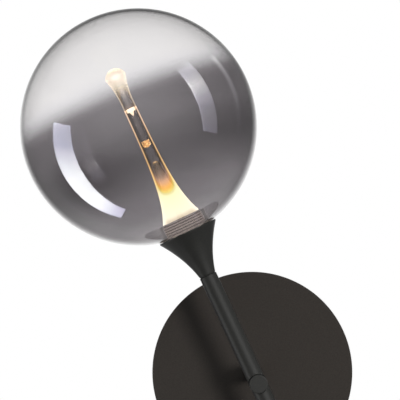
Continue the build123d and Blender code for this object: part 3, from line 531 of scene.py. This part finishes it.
guide_foot, guide_top, _, guide_r = on_axis("light_guide", ON_ARM)
acrylic_ior = 1.49
acrylic, tree, shader = blank("clear_acrylic")
share = level_share(tree, collar_top, guide_top)
arching = edge_share(tree, low=0.0, high=1.0, start=1.0, end=0.5)
arch = add(tree, "ShaderNodeMath", {0: arching, 1: share}, operation="MULTIPLY")["Value"]
haze = add(tree, "ShaderNodeValToRGB", {"Fac": arch}, [
    (0.0, "#c4b69c"), (0.035, "#f2eacc"), (0.2, "#f2f0bc"), (0.235, "#c2b45c"), (0.27, "#b88634"),
    (0.32, "#92705a"), (0.37, "#4a3c34"), (0.45, "#1c1612"), (0.6, "#060404")])["Color"]
skim = add(tree, "ShaderNodeValToRGB", {"Fac": share}, [
    (0.0, "#fff6dc"), (0.2, "#fff4cc"), (0.32, "#ffe49c"), (0.45, "#ffd080"), (0.7, "#f4c88c"),
    (1.0, "#ecd0b4")])["Color"]
on_outside = add(tree, "ShaderNodeAttribute", attribute_name="outside")["Fac"]
bright = edge_share(tree, low=0.36, high=0.66)
edge = add(tree, "ShaderNodeMath", {0: bright, 1: on_outside}, operation="MULTIPLY")["Value"]
leak = add(tree, "ShaderNodeMix", {0: edge, 6: haze, 7: skim}, data_type="RGBA")[2]
# Painted shade: a dark amber tint in a band just inside the trumpet's outline.
painted_edge_shade = edge_share(tree, low=0.08, high=0.34)
painted_shade_band = add(tree, "ShaderNodeMath", {0: painted_edge_shade, 1: on_outside}, operation="MULTIPLY")["Value"]
body = add(tree, "ShaderNodeMix", {0: painted_shade_band, 6: linear("#fbf8f4"), 7: linear("#8c7258")}, data_type="RGBA")[2]
clear = add(tree, "ShaderNodeMapRange", {"Value": arch, "From Min": 0.22, "From Max": 0.36})["Result"]
body = add(tree, "ShaderNodeMix", {0: clear, 6: linear("#000000"), 7: body}, data_type="RGBA")[2]
plug(tree, shader, {"Base Color": body, "Roughness": 0.0, "IOR": acrylic_ior, "Transmission Weight": 1.0,
                    "Emission Color": leak, "Emission Strength": 3.0})

# The drill's rough cut in the acrylic scatters the light, so it stands out as speckled amber and white.
pocket_depth = 48.0
pocket_top = guide_foot + pocket_depth
web = 9.5
drill_low = pocket_top + web
lit_cut, tree, shader = blank("lit_cut_acrylic")
share = level_share(tree, drill_low, guide_top)
catch = add(tree, "ShaderNodeValToRGB", {"Fac": share}, [
    (0.0, "#c8a070"), (0.02, "#ffe0b0"), (0.05, "#8a5a24"), (0.08, "#5c3a1c"), (0.105, "#9a6c34"),
    (0.125, "#ffd8a0"), (0.5, "#8a5a20"), (0.9, "#fff0d4")])["Color"]
chip = 1.1
spot = add(tree, "ShaderNodeTexCoord")["Object"]
chips = add(tree, "ShaderNodeTexNoise", {"Vector": spot, "Scale": 1 / (chip * MM), "Detail": 2.0})["Fac"]
flecks = add(tree, "ShaderNodeValToRGB", {"Fac": chips}, [
    (0.36, "#3c1e06"), (0.5, "#c87c20"), (0.62, "#ffe6a4")])["Color"]
fading = {"Value": share, "From Min": 0.2, "From Max": 0.4, "To Min": 1.0, "To Max": 0.0}
on_bead = add(tree, "ShaderNodeMapRange", fading)["Result"]
catch = add(tree, "ShaderNodeMix", {0: on_bead, 6: catch, 7: flecks}, data_type="RGBA")[2]
plug(tree, shader, {"Base Color": linear("#fff3dc"), "Roughness": 0.4, "Emission Color": catch,
                    "Emission Strength": 3.0})

# The frosted wall of the hollow glows softly, white at the foot and orange towards its end.
lit_pocket, tree, shader = blank("lit_frosted_acrylic")
share = level_share(tree, guide_foot, pocket_top)
glow = add(tree, "ShaderNodeValToRGB", {"Fac": share}, [
    (0.0, "#d8ccac"), (0.5, "#dcd4ac"), (0.57, "#dcc080"), (0.64, "#d4ac50"), (0.72, "#d09a50"),
    (0.78, "#9a7a60"), (0.88, "#3a2a20"), (0.95, "#1a120c"), (0.975, "#a08c6c"), (1.0, "#6a5a40")])["Color"]
plug(tree, shader, {"Base Color": linear("#fff6e4"), "Roughness": 0.3, "IOR": acrylic_ior,
                    "Transmission Weight": 1.0, "Emission Color": glow, "Emission Strength": 0.4})


def exponential_horn():
    """A tree that gives the outside of a turned blank the outline of an exponential horn."""
    tree = bpy.data.node_groups.new("exponential_horn", "GeometryNodeTree")
    for name, kind in (("Blank", "Geometry"), ("Foot level", "Float"), ("Foot radius", "Float"),
                       ("Waist radius", "Float"), ("Horn length", "Float"), ("Clear", "Material"),
                       ("Lit", "Material"), ("Cut", "Material")):
        tree.interface.new_socket(name, in_out="INPUT", socket_type="NodeSocket" + kind)
    tree.interface.new_socket("Horn", in_out="OUTPUT", socket_type="NodeSocketGeometry")
    given = add(tree, "NodeGroupInput")
    position = add(tree, "GeometryNodeInputPosition")["Position"]
    place = add(tree, "ShaderNodeSeparateXYZ", {"Vector": position})
    waist = given["Waist radius"]
    foot_radius = given["Foot radius"]
    levels = {0: given["Foot level"], 1: place["Z"]}
    drop = add(tree, "ShaderNodeMath", levels, operation="SUBTRACT")["Value"]
    lengths = add(tree, "ShaderNodeMath", {0: drop, 1: given["Horn length"]}, operation="DIVIDE")["Value"]
    fall = add(tree, "ShaderNodeMath", {0: lengths}, operation="EXPONENT")["Value"]
    swell = add(tree, "ShaderNodeMath", {0: foot_radius, 1: waist}, operation="SUBTRACT")["Value"]
    radius = add(tree, "ShaderNodeMath", {0: fall, 1: swell, 2: waist}, operation="MULTIPLY_ADD")["Value"]
    scale = add(tree, "ShaderNodeMath", {0: radius, 1: foot_radius}, operation="DIVIDE")["Value"]
    x = add(tree, "ShaderNodeMath", {0: place["X"], 1: scale}, operation="MULTIPLY")["Value"]
    y = add(tree, "ShaderNodeMath", {0: place["Y"], 1: scale}, operation="MULTIPLY")["Value"]
    moved = add(tree, "ShaderNodeCombineXYZ", {"X": x, "Y": y, "Z": place["Z"]})["Vector"]
    marks = {}
    for name in ("outside", "pocket", "cut"):
        found = add(tree, "GeometryNodeInputNamedAttribute", {"Name": name}, data_type="BOOLEAN")
        marks[name] = found["Attribute"]
    shaping = {"Geometry": given["Blank"], "Selection": marks["outside"], "Position": moved}
    shaped = add(tree, "GeometryNodeSetPosition", shaping)["Geometry"]
    real = add(tree, "GeometryNodeRealizeInstances", {"Geometry": shaped})["Geometry"]
    done = add(tree, "GeometryNodeSetMaterial", {"Geometry": real, "Material": given["Clear"]})["Geometry"]
    for area, finish in (("pocket", "Lit"), ("cut", "Cut")):
        choice = {"Geometry": done, "Selection": marks[area], "Material": given[finish]}
        done = add(tree, "GeometryNodeSetMaterial", choice)["Geometry"]
    add(tree, "NodeGroupOutput", {"Horn": done})
    return tree


plug_r = collar_bore - fit
pocket_wall = 1.45
pocket_r = plug_r - pocket_wall
pocket_end_r = 1.7
pocket_straight = 17.0
pocket_throat_r = 3.2
pocket_taper = 22.0
pocket_steps = 40
round_steps = 10
end_low = pocket_top - pocket_end_r
pocket = bezier([(pocket_r, guide_foot), (pocket_r, guide_foot + pocket_straight),
                 (pocket_throat_r, end_low - pocket_taper), (pocket_end_r, end_low)], pocket_steps)
pocket += arc(0, end_low, pocket_end_r, math.pi / 2, 0, round_steps)[1:]
drill_r = 1.7
bead = 2.4
bead_top = drill_low + drill_r + bead
mouth_r = 2.7
cone_slope = 0.5
cone_low = guide_top - (mouth_r - drill_r) / cone_slope
drill = arc(0, drill_low + drill_r, drill_r, math.pi, math.pi / 2, round_steps)
drill += [(drill_r, bead_top), (drill_r, cone_low), (mouth_r, guide_top)]
horn_steps = 90
horn = bezier([(guide_r, guide_top), (guide_r, collar_top)], horn_steps)
outline = pocket + drill + horn + [(plug_r, collar_top), (plug_r, guide_foot)]
blank_mesh = smooth_mesh("trumpet_blank", lathe(outline[::-1]))


def mark(name, domain, chosen):
    """Marks points or faces of the trumpet's blank in a named attribute."""
    blank_mesh.attributes.new(name, "BOOLEAN", domain).data.foreach_set("value", chosen)


past_plug = 0.5
spots = [face.center.copy() for face in blank_mesh.polygons]
mark("outside", "POINT", [vertex.co.xy.length > plug_r + past_plug for vertex in blank_mesh.vertices])
mark("pocket", "FACE", [spot.xy.length < pocket_r + slack and spot.z < pocket_top for spot in spots])
mark("cut", "FACE", [spot.xy.length < mouth_r and spot.z > pocket_top and not bead_top < spot.z < cone_low
                     for spot in spots])
horn_waist_r = 3.75
horn_length = 16.5
mesh = grown(blank_mesh, exponential_horn(), **{
    "Foot level": collar_top, "Foot radius": guide_r, "Waist radius": horn_waist_r,
    "Horn length": horn_length, "Clear": acrylic, "Lit": lit_pocket, "Cut": lit_cut})
mesh.transform(ON_ARM)
mesh.set_sharp_from_angle(angle=crease)
piece("acrylic_trumpet", mesh, "arm", "acrylic", "light_guide")

# Trumpet head: an acrylic plug on the trumpet's top, with a bright cone that dips into the drilling, a clear
# stem with shining edges, and a flared head that is frosted, so that it glows milky white where the light
# leaves.
tip_low, tip_top, _, tip_r = on_axis("guide_tip", ON_ARM)
head, tree, shader = blank("frosted_acrylic_head")
share = level_share(tree, guide_top, tip_top)
frosting = {"Value": share, "From Min": 0.3, "From Max": 0.7, "To Min": 0.0, "To Max": 0.45}
frost = add(tree, "ShaderNodeMapRange", frosting)["Result"]
shine = add(tree, "ShaderNodeValToRGB", {"Fac": share}, [
    (0.0, "#54402c"), (0.12, "#2a2420"), (0.34, "#24201e"), (0.5, "#6a6256"), (0.64, "#847a6e"),
    (1.0, "#82776c")])["Color"]
bright = edge_share(tree, low=0.42, high=0.75)
fading = {"Value": share, "From Min": 0.4, "From Max": 0.6, "To Min": 1.0, "To Max": 0.0}
on_stem = add(tree, "ShaderNodeMapRange", fading)["Result"]
edge = add(tree, "ShaderNodeMath", {0: bright, 1: on_stem}, operation="MULTIPLY")["Value"]
leak = add(tree, "ShaderNodeMix", {0: edge, 6: shine, 7: linear("#f0dcb8")}, data_type="RGBA")[2]
plug(tree, shader, {"Base Color": linear("#fdfaf4"), "Roughness": frost, "IOR": acrylic_ior,
                    "Transmission Weight": 1.0, "Emission Color": leak, "Emission Strength": 1.5})
cone_r = 2.5
stem_foot_r = horn_waist_r + (guide_r - horn_waist_r) * math.exp((collar_top - guide_top) / horn_length)
head_rise = 5.0
brim = tip_top - head_rise
stem_drop = 6.4
stem_r = 4.8
stem_share = 1 - stem_drop / (brim - guide_top)
side_steps = 24
side = []
for step in range(side_steps + 1):
    t = step / side_steps
    at_foot = (t - stem_share) * (t - 1) / stem_share
    at_stem = t * (t - 1) / (stem_share * (stem_share - 1))
    at_brim = t * (t - stem_share) / (1 - stem_share)
    radius = stem_foot_r * at_foot + stem_r * at_stem + tip_r * at_brim
    side.append((radius, guide_top + (brim - guide_top) * t))
bend, half_angle = dome(tip_r, head_rise)
crown = arc(0, tip_top - bend, bend, half_angle, 0, dome_steps)
outline = [(0, tip_low), (cone_r, guide_top)] + side + crown[1:]
mesh = smooth_mesh("trumpet_head", lathe(outline), ON_ARM)
mesh.materials.append(head)
mesh.materials.append(lit_cut)
for face in mesh.polygons:
    face.material_index = int((ON_ARM.inverted() @ face.center).z < guide_top - slack)
piece("trumpet_head", mesh, "arm", "acrylic_tip", "guide_tip")

# Gasket: a moulded ring of grey silicone, soft and without shine, in a seat in the cup's ledge. Its top is
# dished to the globe's curve.
silicone = solid("grey_silicone", ("#8a827a", "#948c84"), grain=2.0, roughness=(0.5, 0.6), relief=0.006)
_, ball_top, _, ball_r = on_axis("glass_globe", ON_ARM)
ball_centre = ball_top - ball_r
dish_r = ball_r + fit
dish = []
for step in range(dome_steps + 1):
    radius = gasket_in + (gasket_out - gasket_in) * step / dome_steps
    dish.append((radius, ball_centre - math.sqrt(dish_r**2 - radius**2)))
outline = dish + [(gasket_out, gasket_low), (gasket_in, gasket_low)]
turned("seal_ring", outline, ON_ARM, silicone, "seal", "silicone", "globe_gasket")

# Globe: a blown glass ball whose wall turns in at the bottom and rises as a neck over the collar. A sprayed
# smoke coating covers its lower part and fades out above the middle. It dims what is behind it, more at a
# slant, and its edge dips a little to the front and the right and bows up in the middle.
glass_ior = 1.5
smoke, tree, shader = blank("smoke_coated_glass")
ball = ON_ARM @ Vector((0, 0, ball_centre))
coat_lean = 0.115
coat_bow = 0.2
coat_tilt = 0.05
coat_way = (up_arm - to_wall * coat_lean).normalized()
coat_middle = ball.dot(coat_way) / MM
share = level_share(tree, coat_middle - ball_r, coat_middle + ball_r, coat_way)
across_middle = ball.dot(across_arm) / MM
aside = level_share(tree, across_middle - ball_r, across_middle + ball_r, across_arm)
off_middle = add(tree, "ShaderNodeMath", {0: aside, 1: 0.5}, operation="SUBTRACT")["Value"]
bowed = {0: off_middle, 1: coat_bow, 2: coat_tilt}
slope = add(tree, "ShaderNodeMath", bowed, operation="MULTIPLY_ADD")["Value"]
share = add(tree, "ShaderNodeMath", {0: off_middle, 1: slope, 2: share}, operation="MULTIPLY_ADD")["Value"]
coat = add(tree, "ShaderNodeValToRGB", {"Fac": share}, [
    (0.0, "#e7e4e5"), (0.06, "#d4d1d2"), (0.11, "#c2bfc1"), (0.2, "#bfbcbe"), (0.24, "#b6b3b5"),
    (0.31, "#a7a4a6"), (0.38, "#9a9799"), (0.45, "#a29fa1"), (0.52, "#afacae"), (0.62, "#b6b3b5"),
    (0.65, "#c2bfc1"), (0.68, "#e0dfe0"), (0.72, "#f7f6f7"), (0.76, "#fcfbfb")])["Color"]
thicker = edge_share(tree, low=0.02, high=0.16, start=1.0, end=1.2)
coat = add(tree, "ShaderNodeGamma", {"Color": coat, "Gamma": thicker})["Color"]
plug(tree, shader, {"Base Color": coat, "Roughness": 0.0, "IOR": glass_ior, "Transmission Weight": 1.0})

# The neck is uncoated glass with a faint grey glow painted on it, stronger at its edges: a painted stand-in
# for the lit collar shining into it.
clear_glass, tree, shader = blank("clear_glass")
edge = edge_share(tree, low=0.35, high=0.8)
glow = add(tree, "ShaderNodeMix", {0: edge, 6: linear("#323030"), 7: linear("#6c6864")}, data_type="RGBA")[2]
plug(tree, shader, {"Base Color": linear("#fafafa"), "Roughness": 0.0, "IOR": glass_ior,
                    "Transmission Weight": 1.0, "Emission Color": glow, "Emission Strength": 1.0})
wall = 1.5
thread_gap = 0.4
neck_wall = 1.8
neck_rise = 8.4
lip = 1.1
ball_steps = 128
inner_r = ball_r - wall
neck_in = collar_r + thread_gap
neck_out = neck_in + neck_wall
half_wall = neck_wall / 2
lip_r = neck_in + lip
lip_level = ball_centre - math.sqrt(ball_r**2 - lip_r**2)
neck_top = lip_level + lip + neck_rise - half_wall
lip_angle = math.pi - math.asin(lip_r / ball_r)
root_angle = math.pi - math.asin(neck_out / inner_r)
outline = arc(0, ball_centre, ball_r, 0, lip_angle, ball_steps)
outline += arc(lip_r, lip_level + lip, lip, math.pi, math.pi * 3 / 2, round_steps)[1:]
outline += arc(neck_in + half_wall, neck_top, half_wall, -math.pi / 2, math.pi / 2, 2 * round_steps)
outline += arc(0, ball_centre, inner_r, root_angle, 0, ball_steps)
mesh = smooth_mesh("smoke_globe", lathe(outline, steps=192), ON_ARM)
mesh.materials.append(smoke)
mesh.materials.append(clear_glass)
for face in mesh.polygons:
    spot = ON_ARM.inverted() @ face.center
    face.material_index = int(spot.xy.length < neck_out + slack and spot.z < ball_centre)
piece("smoke_globe", mesh, "globe", "smoke_glass", "glass_globe")

# Electrics: a potted LED driver and a three-pole terminal block screwed in the housing, with a slotted screw
# on each wire. The driver's polycarbonate is white with a moulded grain, and the block's polyamide is cream
# and waxy.
driver_plastic = solid("white_polycarbonate", ("#d9d8d3", "#e2e1dc"), grain=1.0, roughness=(0.42, 0.52),
                       relief=0.010)
block_plastic = solid("natural_polyamide", ("#cfc9ba", "#d9d4c6"), grain=1.5, roughness=(0.4, 0.5),
                      relief=0.006)
paint(driver_plastic, "led_driver")
paint(zinc, "driver_screws", "terminal_screws")
paint(block_plastic, "terminal_block")

# Leads: PVC-covered wires held at both ends, brown, blue and green with yellow in the housing and a white
# twin cable from the driver through the post and arm. The covering is smooth and has a soft shine.
for node, shades in (("live_lead", ("#56311d", "#633b25")), ("neutral_lead", ("#1c4f9c", "#265cab")),
                     ("earth_lead", ("#2f7a2e", "#c9c032")), ("driver_lead", ("#d8d6d0", "#e3e1dc")),
                     ("arm_lead", ("#d8d6d0", "#e3e1dc"))):
    paint(solid("pvc_" + node, shades, grain=3.0, roughness=(0.38, 0.46), relief=0.004), node)

# Studio: a plain pale floor well below the lamp, painted matt. A soft key from the front and a little to
# the right throws the arm's shadow on the plate, three far strip softboxes leave their long reflections on
# the globe, and two more lay soft bands of light along the arm and cup alone.
floor_paint = solid("floor_paint", ("#e6e5e3", "#ebeae8"), grain=20.0, roughness=(0.7, 0.8), relief=0.01)
floor_half = 0.8
floor_level = -0.42
mesh = bpy.data.meshes.new("floor")
corners = [(-floor_half, -floor_half, floor_level), (floor_half, -floor_half, floor_level),
           (floor_half, floor_half, floor_level), (-floor_half, floor_half, floor_level)]
mesh.from_pydata(corners, [], [(0, 1, 2, 3)])
mesh.materials.append(floor_paint)
floor = bpy.data.objects.new("floor", mesh)
bpy.context.scene.collection.objects.link(floor)
floor.visible_glossy = False
floor.visible_transmission = False
floor.visible_diffuse = False
plain = [(0.0, "#ffffff"), (1.0, "#ffffff")]
any_walls = 100


def lamp(name, place, back, along, size, power, shades=plain, across=plain, walls=any_walls,
         only=(), without=(), **seen):
    """An area lamp at a place, with its back and its long side to two directions, shaded along and across.

    Its light passes so many glass walls, falls on the named pieces only or on all without them, and is seen
    or not by the named kinds of ray.
    """
    light = bpy.data.lights.new(name, "AREA")
    light.shape = "RECTANGLE"
    light.size, light.size_y = size
    light.energy = power
    light.use_nodes = True
    tree = light.node_tree
    spot = add(tree, "ShaderNodeSeparateXYZ", {"Vector": add(tree, "ShaderNodeNewGeometry")["Parametric"]})
    long_way = add(tree, "ShaderNodeValToRGB", {"Fac": spot["X"]}, shades)["Color"]
    short_way = add(tree, "ShaderNodeValToRGB", {"Fac": spot["Y"]}, across)["Color"]
    tint = {0: 1.0, 6: long_way, 7: short_way}
    shade = add(tree, "ShaderNodeMix", tint, data_type="RGBA", blend_type="MULTIPLY")[2]
    depth = add(tree, "ShaderNodeLightPath")["Transmission Depth"]
    near = add(tree, "ShaderNodeMath", {0: depth, 1: walls + 0.5}, operation="LESS_THAN")["Value"]
    plug(tree, tree.nodes["Emission"], {"Color": shade, "Strength": near})
    made = bpy.data.objects.new(name, light)
    side = along.normalized()
    back = (back - side * side.dot(back)).normalized()
    axes = Matrix((side, back.cross(side), back)).transposed().to_4x4()
    made.matrix_world = Matrix.Translation(place) @ axes
    bpy.context.scene.collection.objects.link(made)
    made.visible_camera = False
    for ray, visible in seen.items():
        setattr(made, "visible_" + ray, visible)
    if only or without:
        linked = bpy.data.collections.new(name + "_links")
        for linked_name in only + without:
            linked.objects.link(bpy.data.objects[linked_name])
        for member in linked.collection_objects:
            member.light_linking.link_state = "INCLUDE" if only else "EXCLUDE"
        made.light_linking.receiver_collection = linked


def by_globe(turn, out=0.0, side=0.0, front=0.0):
    """A way out along the wall at a turn in degrees from the right, across that, and to the front."""
    angle = math.radians(turn)
    outward = Vector((math.cos(angle), 0, math.sin(angle)))
    sideways = Vector((-math.sin(angle), 0, math.cos(angle)))
    return outward * out + sideways * side - to_wall * front


key_place = Vector((0.33, -1.1, 0.065))
lamp("key", key_place, key_place, along=Vector((0, 0, 1)), size=(0.18, 0.18), power=8.0,
     glossy=False, transmission=False)
arm_pieces = ("post_bar", "upper_tube", "lower_tube", "domed_plug", "flared_cup")
both_faces = 2
left_turn = 220
left_place = ball + by_globe(left_turn, out=0.55, side=0.1165, front=0.0625)
left_along = by_globe(left_turn, out=0.3, side=0.923, front=-0.237)
left_shades = [(0.0, "#9698a8"), (0.15, "#9c9eb0"), (0.37, "#fafcff"), (0.6, "#fafcff"),
               (0.85, "#babacc"), (1.0, "#9c9cb0")]
lamp("left_strip", left_place, by_globe(left_turn, out=1.0), left_along, size=(1.0, 0.195), power=9.4,
     shades=left_shades, walls=both_faces, without=arm_pieces, diffuse=False)
right_turn = 26
right_place = ball + by_globe(right_turn, out=0.8, side=0.06, front=0.32)
right_along = by_globe(right_turn, side=1.0)
right_shades = [(0.0, "#767482"), (0.21, "#85838c"), (0.32, "#8b8996"), (0.42, "#b8b6c2"),
                (0.57, "#ffffff"), (0.68, "#c8c7d0"), (0.76, "#a8a8b2"), (0.84, "#404044"), (0.9, "#000000")]
right_across = [(0.0, "#b0b0b0"), (0.8, "#d8d8d8"), (1.0, "#ffffff")]
lamp("right_strip", right_place, by_globe(right_turn, out=1.0), right_along, size=(1.1, 0.29), power=13.0,
     shades=right_shades, across=right_across, without=arm_pieces, diffuse=False)
rear_turn = 22
rear_reach = 0.8
rear_way = by_globe(rear_turn, out=0.94, front=-0.34)
rear_along = by_globe(rear_turn, side=1.0)
rear_shades = [(0.0, "#000000"), (0.3, "#404044"), (0.7, "#b0b0b4"), (0.95, "#ffffff"), (1.0, "#808084")]
rear_across = [(0.0, "#000000"), (0.5, "#ffffff"), (1.0, "#404040")]
lamp("rear_strip", ball + rear_way * rear_reach, rear_way, rear_along, size=(0.7, 0.16), power=0.9,
     shades=rear_shades, across=rear_across, walls=both_faces, diffuse=False, transmission=False)
arm_lamp_length = 1.4
arm_lamp_drop = 0.3
arm_lamp_reach = 0.8
dimmer_below = [(0.0, "#a8a8a8"), (0.45, "#b0b0b0"), (0.6, "#ffffff"), (1.0, "#ffffff")]
for name, turn, width, power in (("arm_right_strip", 31, 0.75, 10.0), ("arm_left_strip", -80, 0.55, 7.2)):
    angle = math.radians(turn)
    arm_out = across_arm * math.sin(angle) - to_wall * math.cos(angle)
    place = hub - up_arm * arm_lamp_drop + arm_out * arm_lamp_reach
    lamp(name, place, arm_out, up_arm, size=(arm_lamp_length, width), power=power, shades=dimmer_below,
         only=arm_pieces, diffuse=False, transmission=False)

# World: white behind the lamp and in the glass, dimmer overhead and for what the front reflects, with soft
# light that comes mostly from above.
world = bpy.data.worlds.new("studio")
bpy.context.scene.world = world
world.use_nodes = True
tree = world.node_tree
tree.nodes.clear()
path = add(tree, "ShaderNodeLightPath")
way = add(tree, "ShaderNodeSeparateXYZ", {"Vector": add(tree, "ShaderNodeTexCoord")["Generated"]})
turn = add(tree, "ShaderNodeMapRange", {"Value": way["Y"], "From Min": -1.0, "From Max": 1.0})["Result"]
around = add(tree, "ShaderNodeValToRGB", {"Fac": turn}, [
    (0.0, "#ffffff"), (0.35, "#f0f0f0"), (0.5, "#d8d8d8"), (0.8, "#c3c3c3"), (0.925, "#a0a0a0"),
    (0.965, "#b4b4b4"), (0.9775, "#e0e0e0"), (0.986, "#ffffff")])["Color"]
below = add(tree, "ShaderNodeMapRange", {"Value": way["Z"], "From Min": -0.9, "From Max": -0.5,
                                         "To Min": 0.15, "To Max": 1.0})["Result"]
above = add(tree, "ShaderNodeMapRange", {"Value": way["Z"], "From Min": 0.34, "From Max": 0.44,
                                         "To Min": 1.0, "To Max": 0.3})["Result"]
level = add(tree, "ShaderNodeMath", {0: below, 1: above}, operation="MULTIPLY")["Value"]
in_glass = add(tree, "ShaderNodeMath", {0: around, 1: level}, operation="MULTIPLY")["Value"]
front = add(tree, "ShaderNodeMapRange", {"Value": way["Z"], "From Min": -0.6, "From Max": -0.1,
                                         "To Min": 0.05, "To Max": 0.27})["Result"]
sides = add(tree, "ShaderNodeMapRange", {"Value": way["Z"], "From Min": -0.75, "From Max": -0.2,
                                         "To Min": 0.8, "To Max": 0.12})["Result"]
rearward = add(tree, "ShaderNodeMapRange", {"Value": way["Y"], "From Min": 0.0, "From Max": 0.5})["Result"]
mirror = add(tree, "ShaderNodeMix", {0: rearward, 2: front, 3: sides})[0]
straight = add(tree, "ShaderNodeMapRange", {"Value": way["Y"], "From Min": 0.95,
                                            "From Max": 0.995})["Result"]
edge_on = add(tree, "ShaderNodeMapRange", {"Value": way["Y"], "From Min": 0.8, "From Max": 0.95})["Result"]
low_down = add(tree, "ShaderNodeMapRange", {"Value": way["Z"], "From Min": 0.1, "From Max": 0.3,
                                            "To Min": 1.0, "To Max": 0.0})["Result"]
low_edge = add(tree, "ShaderNodeMath", {0: edge_on, 1: low_down}, operation="MULTIPLY")["Value"]
straight = add(tree, "ShaderNodeMath", {0: straight, 1: low_edge}, operation="MAXIMUM")["Value"]
mirror = add(tree, "ShaderNodeMix", {0: straight, 2: mirror, 3: 1.0})[0]
strength = add(tree, "ShaderNodeMapRange", {"Value": way["Z"], "From Min": -0.1, "From Max": 0.6,
                                            "To Min": 0.05, "To Max": 1.1})["Result"]
for ray, level in (("Is Glossy Ray", mirror), ("Is Transmission Ray", in_glass), ("Is Camera Ray", 1.0)):
    strength = add(tree, "ShaderNodeMix", {0: path[ray], 2: strength, 3: level})[0]
whole = add(tree, "ShaderNodeBackground", {"Color": linear("#ffffff"), "Strength": strength})[0]
add(tree, "ShaderNodeOutputWorld", {"Surface": whole})

# Camera: a short telephoto a little above the plate's centre and to its left, tilted up slightly. Its place
# and lens are fitted to the outlines of globe, plate, arm and cup.
camera = bpy.data.cameras.new("camera")
camera.sensor_width = 36.0
camera.lens = 115.6
camera_place = bpy.data.objects.new("camera", camera)
camera_place.location = (-0.0430, -0.8487, 0.0842)
camera_place.rotation_euler = (math.radians(91.80), 0, math.radians(-0.658))
bpy.context.scene.collection.objects.link(camera_place)
bpy.context.scene.camera = camera_place
bpy.context.scene.view_settings.view_transform = "Standard"
